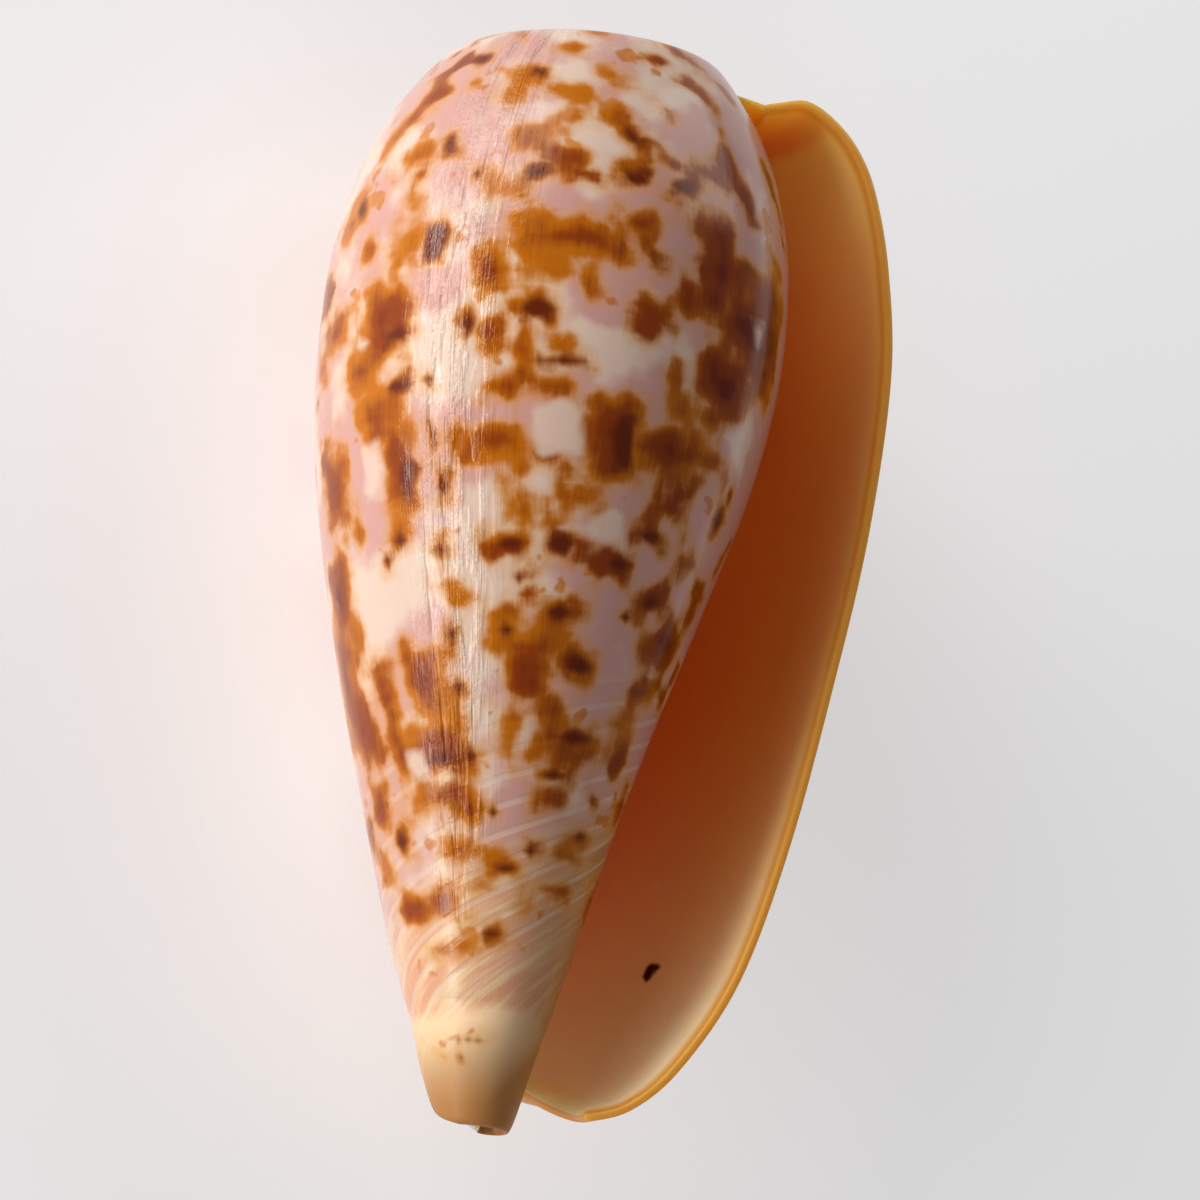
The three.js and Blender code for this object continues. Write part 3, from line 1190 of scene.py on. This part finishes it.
@dataclass
class ShellBody:
    """The whole shell as one closed mesh, with its markings stored on its points."""

    spiral: GrowthSpiral = field(default_factory=GrowthSpiral)
    rest: RestPose = field(default_factory=RestPose)
    view: FrontView = field(default_factory=FrontView)
    zones: FinishZones = field(default_factory=FinishZones)
    seeded: SeededMarks = field(default_factory=SeededMarks)
    steps_per_turn: int = 256
    spire_rows: int = 12
    side_rows: int = 126
    curl_rows: int = 14
    hollow_turns: float = 0.625
    hollow_base_angle: float = np.radians(170.0)
    hollow_taper_start: float = 4.5
    spire_turns: float = 3.5
    apex_turn: float = 20.0
    marks: tuple[Mark, ...] = ()
    seen_margin: float = 0.2
    seen_slant: float = -0.02
    shoulder_thinning: float = 0.28
    past_shoulder: Rise = Rise(start=2.0, length=8.0)
    edge: SatinOrange = SatinOrange(
        name="satin_edge",
        deep=(0.92, 0.22, 0.02),
        middle=(0.92, 0.26, 0.04),
        pale=(0.85, 0.30, 0.10),
        rim=(0.75, 0.24, 0.04),
        # Painted light on the thin edges: a brighter colour for light through the lip.
        glow=(0.95, 0.33, 0.06),
        tan=(0.78, 0.42, 0.22),
    )
    offset: np.ndarray = field(default_factory=lambda: np.zeros(3))

    def grid(self) -> dict[str, np.ndarray]:
        """Stations, turns and points of the outer and inner surfaces.

        Formula: outer columns run one turn round and on by the hollow's length, which
        shortens smoothly to the base; inner columns run by the hollow's length.

        Returns:
            Arrays by name: station and turn grids, and the points of both surfaces.
        """
        spiral = self.spiral
        attach = spiral.attach_station
        upper = np.linspace(0.0, attach, self.spire_rows + 1)
        lower = np.linspace(attach, spiral.last_station, self.side_rows + 1)[1:]
        station = np.concatenate([upper, lower])[:, None]
        hollow_steps = round(self.hollow_turns * self.steps_per_turn)
        spire_steps = round(self.spire_turns * self.steps_per_turn)
        step = FULL_TURN / self.steps_per_turn
        top = hollow_steps * step
        start = self.hollow_taper_start
        taper = eased((station - start) / (spiral.last_station - start))
        shortened = top + (self.hollow_base_angle - top) * taper
        row = np.arange(len(station))[:, None]
        end = np.where(row > self.spire_rows + 1, shortened, top)
        share = end / top
        column = np.arange(spire_steps + 1)[None, :] * step
        outer_turn = np.minimum(column, FULL_TURN) + np.maximum(column - FULL_TURN, 0.0) * share
        inner_turn = np.arange(hollow_steps + 1)[None, :] * step * share
        outer_station = np.broadcast_to(station, outer_turn.shape)
        inner_station = np.broadcast_to(station, inner_turn.shape)
        return {
            "outer_station": outer_station,
            "outer_turn": outer_turn,
            "inner_station": inner_station,
            "inner_turn": inner_turn,
            "outer": spiral.outer(outer_station, outer_turn),
            "inner": spiral.inner(inner_station, inner_turn),
        }

    def faces(
        self, outer: np.ndarray, inner: np.ndarray, apex: int, tip: int
    ) -> tuple[np.ndarray, np.ndarray]:
        """Joins the two surfaces into one closed skin.

        Args:
            outer: point numbers of the outer grid.
            inner: point numbers of the inner grid.
            apex: number of the point on top of the spire.
            tip: number of the point under the columella.

        Returns:
            Faces as rows of four point numbers, with a triangle's last number
            repeated, and for each face 0 outside, 1 inside and 2 on the thin edges.
        """
        attach = self.spire_rows
        last = len(outer) - 1
        turn = self.steps_per_turn
        hollow = inner.shape[1] - 1
        side = turn + hollow
        spire = outer.shape[1] - 1
        suture = np.concatenate([outer[attach, turn:], np.full(turn, apex)])
        roof = outer[attach + 1, turn : turn + hollow + 1]

        def strip(a: np.ndarray, b: np.ndarray) -> np.ndarray:
            """Faces between two lines of points."""
            return np.stack([a[:-1], b[:-1], b[1:], a[1:]], axis=-1).reshape(-1, 4)

        def block(rows: np.ndarray) -> np.ndarray:
            """Faces of a grid of points."""
            corners = [rows[:-1, :-1], rows[1:, :-1], rows[1:, 1:], rows[:-1, 1:]]
            return np.stack(corners, axis=-1).reshape(-1, 4)

        def fan(middle: int, line: np.ndarray) -> np.ndarray:
            """Triangles from one point to a line of points."""
            return np.stack([np.full(len(line) - 1, middle), line[:-1], line[1:], line[1:]], axis=-1)

        ring_end = int(np.ceil(self.hollow_base_angle / (FULL_TURN / turn)))
        end_column = outer[attach + 1 :, side]
        corner = outer[attach + 1, side]
        inner_end = inner[: attach + 2, hollow]
        base, core = self.base_faces(outer[last], inner[last], ring_end, tip)
        edges = [strip(inner[0], roof), base]
        outside = [
            strip(suture[: spire + 1], outer[0]),
            block(outer[: attach + 1]),
            block(outer[attach : attach + 2, : turn + 1]),
            block(outer[attach + 1 :, : turn + 1]),
            block(outer[last - self.curl_rows :, turn : side + 1]),
            fan(apex, outer[: attach + 1, spire]),
            core,
        ]
        inside = [
            block(outer[attach + 1 : last - self.curl_rows + 1, turn : side + 1]),
            block(inner)[:, ::-1],
            np.array([[suture[0], roof[0], inner[0, 0], outer[0, 0]]]),
            strip(outer[:, 0], inner[:, 0]),
            np.array([[corner, inner[0, hollow], roof[hollow], roof[hollow]]]),
            fan(corner, inner_end[::-1])[::-1],
            strip(end_column, inner[attach + 1 :, hollow])[:, [0, 3, 2, 1]],
        ]
        groups = [np.concatenate(part) for part in (outside, inside, edges)]
        return np.concatenate(groups), np.repeat(np.arange(3), [len(group) for group in groups])

    def base_faces(
        self, outer: np.ndarray, inner: np.ndarray, ring_end: int, tip: int
    ) -> tuple[np.ndarray, np.ndarray]:
        """Closes the base: a strip along the open canal, and a fan under the columella.

        Formula: the steps of the outer and inner edges are taken in order of their
        angle, and each step makes one triangle with the other edge's latest point.

        Args:
            outer: point numbers of the outer base edge.
            inner: point numbers of the inner base edge.
            ring_end: outer step at which the hollow ends.
            tip: number of the point under the columella.

        Returns:
            Faces of the strip and faces of the fan.
        """
        hollow = len(inner) - 1
        outer_angle = np.arange(1, ring_end + 1) * FULL_TURN / self.steps_per_turn
        inner_angle = np.arange(1, hollow + 1) * self.hollow_base_angle / hollow
        order = np.argsort(np.concatenate([outer_angle, inner_angle]), kind="stable")
        is_outer = order < ring_end
        outer_at = np.cumsum(is_outer) - is_outer
        inner_at = np.cumsum(~is_outer) - ~is_outer
        next_outer = outer[np.minimum(outer_at + 1, ring_end)]
        next_inner = inner[np.minimum(inner_at + 1, hollow)]
        third = np.where(is_outer, next_outer, next_inner)
        strip = np.stack([outer[outer_at], inner[inner_at], third, third], axis=-1)
        side = self.steps_per_turn + hollow
        loop = np.concatenate([outer[ring_end : side + 1], inner[hollow:]])
        ahead = np.roll(loop, -1)
        fan = np.stack([loop, np.full(len(loop), tip), ahead, ahead], axis=-1)
        return strip, fan

    def build(self) -> bpy.types.Object:
        """Builds the mesh, with growth coordinates, depth into the aperture and markings.

        Returns:
            The shell, at the origin, with its place in its mesh.
        """
        grid = self.grid()
        spiral = self.spiral
        outer_count = grid["outer"].shape[0] * grid["outer"].shape[1]
        inner_count = grid["inner"].shape[0] * grid["inner"].shape[1]
        outer_ids = np.arange(outer_count).reshape(grid["outer"].shape[:2])
        inner_ids = outer_count + np.arange(inner_count).reshape(grid["inner"].shape[:2])
        apex = outer_count + inner_count
        tip = apex + 1
        top = spiral.spire_rise + spiral.apex_bulge
        bottom = spiral.outer(spiral.last_station, np.pi)[2] - spiral.tip_bulge
        caps = np.array([[0.0, 0.0, top], [0.0, 0.0, bottom]])
        points = np.concatenate([grid["outer"].reshape(-1, 3), grid["inner"].reshape(-1, 3), caps])
        faces, kinds = self.faces(outer_ids, inner_ids, apex, tip)
        used, faces = np.unique(faces, return_inverse=True)
        faces = faces.reshape(-1, 4)

        def joined(name: str, ends: list[float]) -> np.ndarray:
            """One value of each point that a face uses, with those of the two caps last."""
            return np.concatenate([grid["outer_" + name].ravel(), grid["inner_" + name].ravel(), ends])[used]

        station = joined("station", [0.0, spiral.last_station])
        turn = joined("turn", [self.apex_turn, np.pi])
        is_outer = (used < outer_count) | (used >= apex)
        shell_points = points[used]
        placed = shell_points @ self.rest.turning().T
        self.offset = self.rest.offset(placed)
        placed = (placed + self.offset) * METRES
        mesh = bpy.data.meshes.new("shell_body")
        corner_lists = [face[:3] if face[2] == face[3] else face for face in faces.tolist()]
        mesh.from_pydata(placed.tolist(), [], corner_lists)
        mesh.polygons.foreach_set("use_smooth", np.ones(len(faces), bool))
        mesh.polygons.foreach_set("material_index", kinds.astype(np.int32))
        self.store(mesh, shell_points, station, turn, is_outer)
        piece = bpy.data.objects.new("shell_body", mesh)
        bpy.context.scene.collection.objects.link(piece)
        return piece

    def store(
        self,
        mesh: bpy.types.Mesh,
        points: np.ndarray,
        station: np.ndarray,
        turn: np.ndarray,
        is_outer: np.ndarray,
    ) -> None:
        """Stores what the finishes read at each point of the mesh.

        Args:
            mesh: mesh to write to.
            points: its points in the shell's frame.
            station: station of each point.
            turn: turn of each point.
            is_outer: whether each point lies on the outer surface.
        """
        corners = np.zeros(len(mesh.loops), np.int32)
        mesh.loops.foreach_get("vertex_index", corners)
        height = self.spiral.height(points, turn)
        growth = np.stack([turn / FULL_TURN, height / MAP_HEIGHT], axis=-1)[corners]
        layer = mesh.uv_layers.new(name="growth")
        layer.data.foreach_set("uv", growth.ravel().astype(np.float32))
        painted = self.paint(points, station, turn, is_outer)
        fields = {tint.value: values for tint, values in painted.items()}
        fields.update(self.zones.fields(self.spiral, points, station, turn, is_outer))
        for name, values in fields.items():
            attribute = mesh.attributes.new(name, "FLOAT", "POINT")
            attribute.data.foreach_set("value", values.astype(np.float32))

    def paint(
        self, points: np.ndarray, station: np.ndarray, turn: np.ndarray, is_outer: np.ndarray
    ) -> dict[Tint, np.ndarray]:
        """Distance fields of the listed marks and of the seeded ones on the unseen sides.

        Args:
            points: the mesh's points in the shell's frame.
            station: station of each point.
            turn: turn of each point.
            is_outer: whether each point lies on the outer surface.

        Returns:
            One field for each tint.
        """
        normals = self.spiral.normal(station, turn) * np.where(is_outer, 1.0, -1.0)[:, None]
        layer = MarkLayer(points, normals, unit(self.spiral.growth_step(station, turn)))
        shown = self.view.picture(points)
        faces_camera = normals @ self.view.axes()[1] < self.seen_slant
        facing = (turn < FULL_TURN + self.seen_margin) & faces_camera
        outside = np.nonzero(facing & is_outer)[0]
        inside = np.nonzero(facing & ~is_outer)[0]
        for mark in self.marks:
            seen = inside if mark.inside else outside
            gap = np.hypot(shown[seen, 0] - mark.x, shown[seen, 1] - mark.y)
            layer.add(seen[np.argmin(gap)], mark.wide, mark.high, mark.lean, mark.shape, mark.tint)
        height = self.spiral.height(points, turn)
        layer.values[Tint.BROWN] -= self.shoulder_thinning * (1.0 - self.past_shoulder.at(height))
        self.seeded.scatter(layer, np.nonzero(is_outer & ~facing)[0], turn, self.spiral)
        return layer.values

    def dress(self, piece: bpy.types.Object) -> None:
        """Puts the finishes on and ties the piece to the frame.

        Args:
            piece: the shell.
        """
        piece.data.materials.append(PatternedGlaze().make())
        piece.data.materials.append(SatinOrange().make())
        piece.data.materials.append(self.edge.make())
        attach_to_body(piece, "root")
        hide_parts("shell")


@dataclass(frozen=True)
class SoftLight:
    """One rectangular soft light: its place and size in metres and its power in watts."""

    name: str
    place: Place
    size: tuple[float, float]
    power: float
    colour: Colour

    def add(self, aim: Place) -> None:
        """Adds the light.

        Args:
            aim: point that it faces.
        """
        data = bpy.data.lights.new(self.name, "AREA")
        data.shape = "RECTANGLE"
        data.size, data.size_y = self.size
        data.energy = self.power
        data.color = self.colour
        lamp = bpy.data.objects.new(self.name, data)
        backward = unit(np.subtract(self.place, aim))
        side = unit(np.cross((0.0, 1.0, 0.0), backward))
        upward = np.cross(backward, side)
        rows = [[side[i], upward[i], backward[i], self.place[i]] for i in range(3)]
        lamp.matrix_world = Matrix([*rows, [0.0, 0.0, 0.0, 1.0]])
        bpy.context.scene.collection.objects.link(lamp)


@dataclass(frozen=True)
class Studio:
    """Pale floor, soft lights and an even pale surrounding."""

    floor_size: float = 6.0
    middle: Place = (0.0, 0.0, 0.015)
    lights: tuple[SoftLight, ...] = (
        SoftLight("strip_light", (-0.60, 0.06, 0.085), (0.11, 0.9), 3.1, (1.0, 0.97, 0.93)),
        SoftLight("key_light", (-0.42, 0.45, 0.26), (0.4, 0.4), 1.3, (1.0, 0.97, 0.93)),
        SoftLight("back_light", (0.38, 0.46, 0.30), (0.4, 0.4), 0.8, (1.0, 0.98, 0.95)),
        SoftLight("fill_light", (-0.10, -0.60, 0.34), (0.4, 0.4), 0.55, (1.0, 0.93, 0.84)),
    )
    surrounding: tuple[float, float, float, float] = (0.9, 0.93, 1.0, 1.0)
    surrounding_strength: float = 0.2

    def floor(self) -> bpy.types.Object:
        """A flat square sheet at height zero.

        Returns:
            The floor.
        """
        half = self.floor_size / 2.0
        mesh = bpy.data.meshes.new("floor")
        corners = [(-half, -half, 0.0), (half, -half, 0.0), (half, half, 0.0), (-half, half, 0.0)]
        mesh.from_pydata(corners, [], [(0, 1, 2, 3)])
        sheet = bpy.data.objects.new("floor", mesh)
        mesh.materials.append(PaleSurface().make())
        bpy.context.scene.collection.objects.link(sheet)
        return sheet

    def build(self) -> None:
        """Adds the floor, the lights and the surrounding, and sets the colour look."""
        self.floor()
        for light in self.lights:
            light.add(self.middle)
        world = bpy.data.worlds.new("surrounding")
        world.use_nodes = True
        background = world.node_tree.nodes["Background"]
        background.inputs["Color"].default_value = self.surrounding
        background.inputs["Strength"].default_value = self.surrounding_strength
        bpy.context.scene.world = world
        bpy.context.scene.view_settings.view_transform = "Standard"
        bpy.context.scene.view_settings.look = "Medium High Contrast"


brown = partial(Mark, tint=Tint.BROWN)
brown_spot = partial(Mark, tint=Tint.BROWN, shape=Shape.SPOT)
brown_tent = partial(Mark, tint=Tint.BROWN, shape=Shape.TENT)
dark = partial(Mark, tint=Tint.DARK)
dark_spot = partial(Mark, tint=Tint.DARK, shape=Shape.SPOT)
white = partial(Mark, tint=Tint.WHITE)
white_tent = partial(Mark, tint=Tint.WHITE, shape=Shape.TENT)

SHOULDER_MARKS: tuple[Mark, ...] = (
    dark_spot(x=485, y=61, wide=1.0, high=0.8, lean=20),
    brown(x=527, y=76, wide=3.0, high=2.2),
    dark(x=542, y=74, wide=1.0, high=0.8),
    brown(x=515, y=95, wide=1.8, high=1.6),
    brown(x=565, y=92, wide=3.0, high=1.2, lean=-10),
    brown(x=538, y=130, wide=3.0, high=1.6, lean=25),
    brown(x=572, y=115, wide=2.6, high=0.8, lean=20),
    brown_spot(x=568, y=48, wide=1.8, high=1.2),
    brown_spot(x=613, y=77, wide=1.8, high=1.5),
    brown(x=455, y=70, wide=3.0, high=1.6, lean=45),
    brown(x=425, y=103, wide=4.0, high=1.8, lean=50),
    brown(x=395, y=140, wide=4.0, high=1.6, lean=55),
    brown(x=418, y=156, wide=2.4, high=1.5, lean=20),
    dark(x=450, y=142, wide=0.8, high=1.3, lean=15),
    brown_spot(x=472, y=83, wide=1.1, high=0.8, lean=30),
    brown(x=413, y=194, wide=1.1, high=3.0),
    brown(x=405, y=250, wide=2.0, high=2.6),
    dark(x=436, y=243, wide=1.4, high=2.2),
    dark_spot(x=365, y=212, wide=0.8, high=1.4, lean=20),
    brown(x=352, y=224, wide=2.5, high=2.4, lean=50),
    brown_spot(x=366, y=247, wide=1.0, high=1.0),
    brown(x=569, y=158, wide=2.6, high=1.1, lean=-15),
    brown(x=586, y=171, wide=1.8, high=1.0),
    dark_spot(x=536, y=173, wide=1.2, high=0.9),
    brown(x=505, y=189, wide=3.0, high=1.5, lean=-8),
    dark_spot(x=480, y=176, wide=0.5, high=0.5),
    brown(x=612, y=122, wide=2.4, high=1.6, lean=-20),
    brown(x=636, y=140, wide=2.6, high=1.3, lean=-35),
    dark(x=636, y=140, wide=1.2, high=0.6, lean=-35),
    brown(x=678, y=166, wide=3.0, high=1.0, lean=-30),
    brown_tent(x=719, y=152, wide=3.6, high=3.4, lean=90),
    brown(x=712, y=175, wide=2.8, high=1.2),
    brown(x=699, y=95, wide=3.0, high=1.4, lean=-45),
    brown(x=666, y=112, wide=1.5, high=1.2, lean=-20),
    brown(x=652, y=61, wide=1.9, high=1.1, lean=-15),
    brown(x=679, y=57, wide=4.0, high=1.0, lean=-30),
    brown(x=717, y=85, wide=3.2, high=0.8, lean=-50),
    dark(x=639, y=180, wide=1.4, high=0.9),
    brown(x=625, y=168, wide=2.0, high=1.2, lean=-20),
    dark(x=682, y=189, wide=1.5, high=0.9),
    brown(x=681, y=204, wide=0.6, high=1.2),
    brown(x=752, y=209, wide=3.2, high=1.4, lean=-60),
    brown(x=770, y=192, wide=3.5, high=0.8, lean=-65),
    brown(x=564, y=234, wide=6.0, high=2.6),
    brown(x=545, y=258, wide=3.0, high=1.6),
    brown(x=624, y=238, wide=1.4, high=2.4),
    brown(x=639, y=225, wide=1.6, high=1.3),
    brown(x=653, y=255, wide=2.4, high=0.7, lean=-55),
    brown(x=724, y=268, wide=3.2, high=6.6),
    brown(x=738, y=290, wide=3.0, high=4.0),
    brown(x=745, y=325, wide=5.0, high=4.6),
    brown(x=769, y=320, wide=4.0, high=6.0),
    brown(x=768, y=372, wide=3.0, high=3.0),
    brown(x=773, y=263, wide=2.6, high=0.7, lean=-30),
    dark_spot(x=782, y=243, wide=0.5, high=0.5),
    brown_spot(x=588, y=284, wide=0.7, high=1.0),
    brown(x=489, y=277, wide=2.4, high=2.7),
    brown(x=689, y=293, wide=1.2, high=1.9),
    brown(x=658, y=316, wide=2.2, high=1.9),
    dark(x=541, y=313, wide=1.9, high=1.3),
    brown(x=514, y=312, wide=1.6, high=1.4),
    dark_spot(x=467, y=320, wide=1.0, high=1.4),
    brown(x=381, y=322, wide=4.2, high=5.0),
    dark(x=397, y=337, wide=1.5, high=1.0),
    brown(x=327, y=297, wide=2.6, high=3.0),
    brown(x=334, y=330, wide=3.2, high=2.6),
    white_tent(x=366, y=348, wide=1.4, high=1.3),
    white_tent(x=758, y=334, wide=1.8, high=2.2, lean=-90),
)

MIDDLE_MARKS: tuple[Mark, ...] = (
    brown(x=492, y=339, wide=1.8, high=1.9),
    brown(x=522, y=350, wide=1.0, high=3.2),
    dark(x=560, y=366, wide=3.0, high=0.75),
    brown(x=556, y=384, wide=2.4, high=1.3),
    brown(x=556, y=352, wide=1.4, high=0.8),
    brown(x=497, y=383, wide=2.2, high=1.0),
    brown(x=725, y=380, wide=5.2, high=3.8),
    brown(x=679, y=380, wide=1.0, high=3.4),
    brown(x=366, y=375, wide=3.2, high=2.6),
    brown(x=374, y=412, wide=3.6, high=3.2, lean=20),
    dark(x=400, y=389, wide=1.6, high=0.8, lean=12),
    dark_spot(x=426, y=378, wide=0.5, high=0.7),
    brown(x=323, y=372, wide=1.6, high=1.6),
    brown(x=332, y=490, wide=3.2, high=4.4),
    brown(x=402, y=467, wide=1.9, high=4.8),
    dark(x=405, y=475, wide=0.8, high=2.2),
    white(x=373, y=474, wide=1.8, high=3.6),
    brown(x=401, y=522, wide=0.9, high=1.6),
    dark_spot(x=401, y=534, wide=0.8, high=0.9),
    brown_spot(x=364, y=542, wide=0.5, high=0.6),
    dark(x=390, y=566, wide=0.7, high=1.0),
    brown_spot(x=349, y=584, wide=1.4, high=1.9),
    dark(x=432, y=439, wide=0.4, high=1.5),
    dark(x=441, y=482, wide=0.8, high=1.3),
    dark_spot(x=441, y=550, wide=0.5, high=0.8),
    brown_spot(x=453, y=592, wide=0.6, high=0.8),
    dark(x=450, y=634, wide=0.65, high=1.4),
    brown(x=489, y=434, wide=3.9, high=2.2),
    brown(x=522, y=462, wide=1.3, high=2.0, lean=-20),
    white(x=558, y=429, wide=2.9, high=3.2),
    brown(x=611, y=441, wide=3.5, high=5.4),
    dark(x=624, y=444, wide=1.4, high=3.2),
    brown(x=656, y=450, wide=4.2, high=3.0),
    brown_tent(x=698, y=460, wide=3.4, high=3.2),
    brown(x=711, y=420, wide=2.4, high=1.6),
    white_tent(x=739, y=442, wide=3.2, high=4.6, lean=180),
    brown(x=566, y=473, wide=4.2, high=1.0, lean=-27),
    brown(x=573, y=500, wide=2.6, high=1.8),
    brown(x=525, y=508, wide=1.2, high=1.8),
    brown(x=550, y=513, wide=1.0, high=1.6),
    brown(x=510, y=537, wide=2.3, high=1.3),
    dark(x=511, y=537, wide=1.2, high=0.7),
    brown(x=492, y=546, wide=1.2, high=1.0, lean=30),
    dark(x=558, y=537, wide=1.6, high=1.2),
    brown_tent(x=647, y=522, wide=2.4, high=3.4, lean=90),
    dark(x=651, y=530, wide=1.4, high=0.8),
    white_tent(x=594, y=524, wide=3.6, high=2.6, lean=180),
    brown(x=684, y=497, wide=2.6, high=1.0, lean=50),
    dark_spot(x=716, y=522, wide=1.2, high=1.1),
    brown_spot(x=731, y=495, wide=0.5, high=0.5),
    brown(x=723, y=490, wide=0.5, high=1.4),
    brown(x=723, y=557, wide=2.4, high=0.8, lean=55),
    brown(x=606, y=566, wide=3.8, high=1.3, lean=-10),
    dark(x=619, y=571, wide=1.4, high=0.7),
    brown(x=682, y=554, wide=2.2, high=1.4, lean=70),
    brown(x=679, y=573, wide=2.6, high=0.9, lean=45),
    dark_spot(x=520, y=582, wide=0.7, high=0.5),
    brown(x=525, y=593, wide=0.9, high=0.9),
    brown(x=647, y=602, wide=2.8, high=1.8, lean=50),
    dark(x=650, y=600, wide=1.4, high=0.8, lean=50),
    brown(x=698, y=591, wide=1.6, high=1.8),
    brown(x=689, y=614, wide=2.6, high=1.0, lean=50),
    brown(x=559, y=614, wide=2.5, high=1.5, lean=20),
    dark(x=559, y=612, wide=1.3, high=0.7, lean=20),
    brown(x=502, y=622, wide=2.1, high=3.0),
    dark(x=508, y=630, wide=0.9, high=0.8),
    dark_spot(x=624, y=626, wide=0.5, high=0.5),
    brown(x=667, y=637, wide=3.0, high=3.2, lean=60),
)

LOWER_MARKS: tuple[Mark, ...] = (
    brown(x=535, y=644, wide=2.0, high=2.0),
    brown(x=522, y=664, wide=2.8, high=4.0),
    brown(x=533, y=686, wide=2.4, high=2.2),
    brown(x=579, y=662, wide=2.1, high=2.0, lean=10),
    dark(x=582, y=660, wide=1.2, high=0.9),
    brown(x=632, y=703, wide=4.4, high=1.6, lean=62),
    brown(x=672, y=678, wide=2.6, high=1.2, lean=60),
    brown_tent(x=509, y=729, wide=3.6, high=2.4, lean=-90),
    brown_tent(x=568, y=731, wide=3.8, high=2.4),
    dark(x=576, y=736, wide=1.6, high=0.8),
    brown(x=573, y=759, wide=2.6, high=0.8, lean=25),
    brown(x=617, y=762, wide=2.0, high=1.4, lean=50),
    brown(x=550, y=786, wide=1.4, high=1.0, lean=15),
    dark(x=550, y=785, wide=0.8, high=0.5),
    brown_spot(x=592, y=797, wide=0.7, high=0.9),
    brown(x=624, y=800, wide=2.2, high=1.2, lean=60),
    brown(x=579, y=833, wide=1.6, high=1.2, lean=20),
    dark(x=579, y=832, wide=0.8, high=0.6),
    brown_spot(x=535, y=822, wide=0.5, high=0.5),
    dark_spot(x=493, y=805, wide=0.6, high=0.6),
    dark_spot(x=531, y=857, wide=0.8, high=0.7),
    brown_spot(x=572, y=861, wide=0.8, high=0.5),
    dark(x=471, y=759, wide=0.5, high=1.4, lean=15),
    dark_spot(x=456, y=686, wide=0.5, high=0.7),
    brown(x=390, y=712, wide=1.8, high=7.0, lean=10),
    brown(x=423, y=690, wide=3.0, high=5.0),
    brown(x=438, y=696, wide=1.6, high=1.0),
    brown(x=433, y=736, wide=4.0, high=3.2),
    dark(x=443, y=766, wide=2.0, high=0.8),
    white(x=419, y=772, wide=1.5, high=1.6),
    brown(x=443, y=795, wide=4.6, high=1.9, lean=10),
    brown(x=469, y=818, wide=1.9, high=1.6),
    dark_spot(x=400, y=841, wide=1.0, high=1.1),
    brown(x=456, y=848, wide=1.6, high=0.9, lean=10),
    brown(x=487, y=843, wide=2.4, high=0.8, lean=-10),
    brown(x=505, y=866, wide=2.4, high=1.5),
    dark(x=506, y=866, wide=1.2, high=0.7),
    brown(x=543, y=898, wide=3.6, high=1.1, lean=18),
    brown(x=443, y=902, wide=2.0, high=1.5),
    brown(x=413, y=907, wide=2.4, high=1.7),
    dark(x=488, y=935, wide=1.0, high=0.6, lean=15),
    brown(x=459, y=945, wide=3.4, high=0.5, lean=20),
    brown(x=469, y=917, wide=1.0, high=0.5),
    brown(x=356, y=662, wide=1.2, high=2.0),
    brown(x=362, y=718, wide=1.2, high=1.6),
    brown(x=349, y=690, wide=4.5, high=8.0),
    brown(x=337, y=600, wide=4.0, high=5.0),
    brown(x=374, y=749, wide=2.4, high=2.8),
    brown(x=377, y=790, wide=1.9, high=2.0),
    brown(x=382, y=818, wide=2.0, high=1.8),
    brown(x=374, y=845, wide=2.0, high=2.6),
    brown(x=390, y=874, wide=2.6, high=1.4, lean=-50),
    dark_spot(x=457, y=1043, wide=0.25, high=0.25),
    dark(x=468, y=1045, wide=0.35, high=0.2, lean=20),
    dark(x=477, y=1041, wide=0.7, high=0.1, lean=25),
    dark(x=461, y=1059, wide=0.12, high=0.35, lean=-20),
    brown_spot(x=443, y=1062, wide=0.5, high=0.5),
    brown(x=448, y=1084, wide=0.6, high=0.35, lean=-10),
    brown(x=465, y=1092, wide=1.0, high=0.45),
    brown(x=485, y=1092, wide=0.8, high=0.45, lean=15),
)

INSIDE_MARKS: tuple[Mark, ...] = (
    dark(x=652, y=972, wide=0.9, high=0.4, lean=10, inside=True),
    dark_spot(x=648, y=976, wide=0.6, high=0.6, inside=True),
    white(x=656, y=884, wide=1.2, high=0.4, lean=50, inside=True),
)


def main() -> None:
    """Builds the shell, the camera and the studio."""
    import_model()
    shell = ShellBody(marks=SHOULDER_MARKS + MIDDLE_MARKS + LOWER_MARKS + INSIDE_MARKS)
    piece = shell.build()
    shell.dress(piece)
    LOG.info("shell_body: %d points, %d faces", len(piece.data.vertices), len(piece.data.polygons))
    shell.view.place_camera(shell.rest.turning(), shell.offset)
    LOG.info("photo_camera: placed")
    Studio().build()
    LOG.info("studio: floor and lights")


if __name__ == "__main__":
    main()
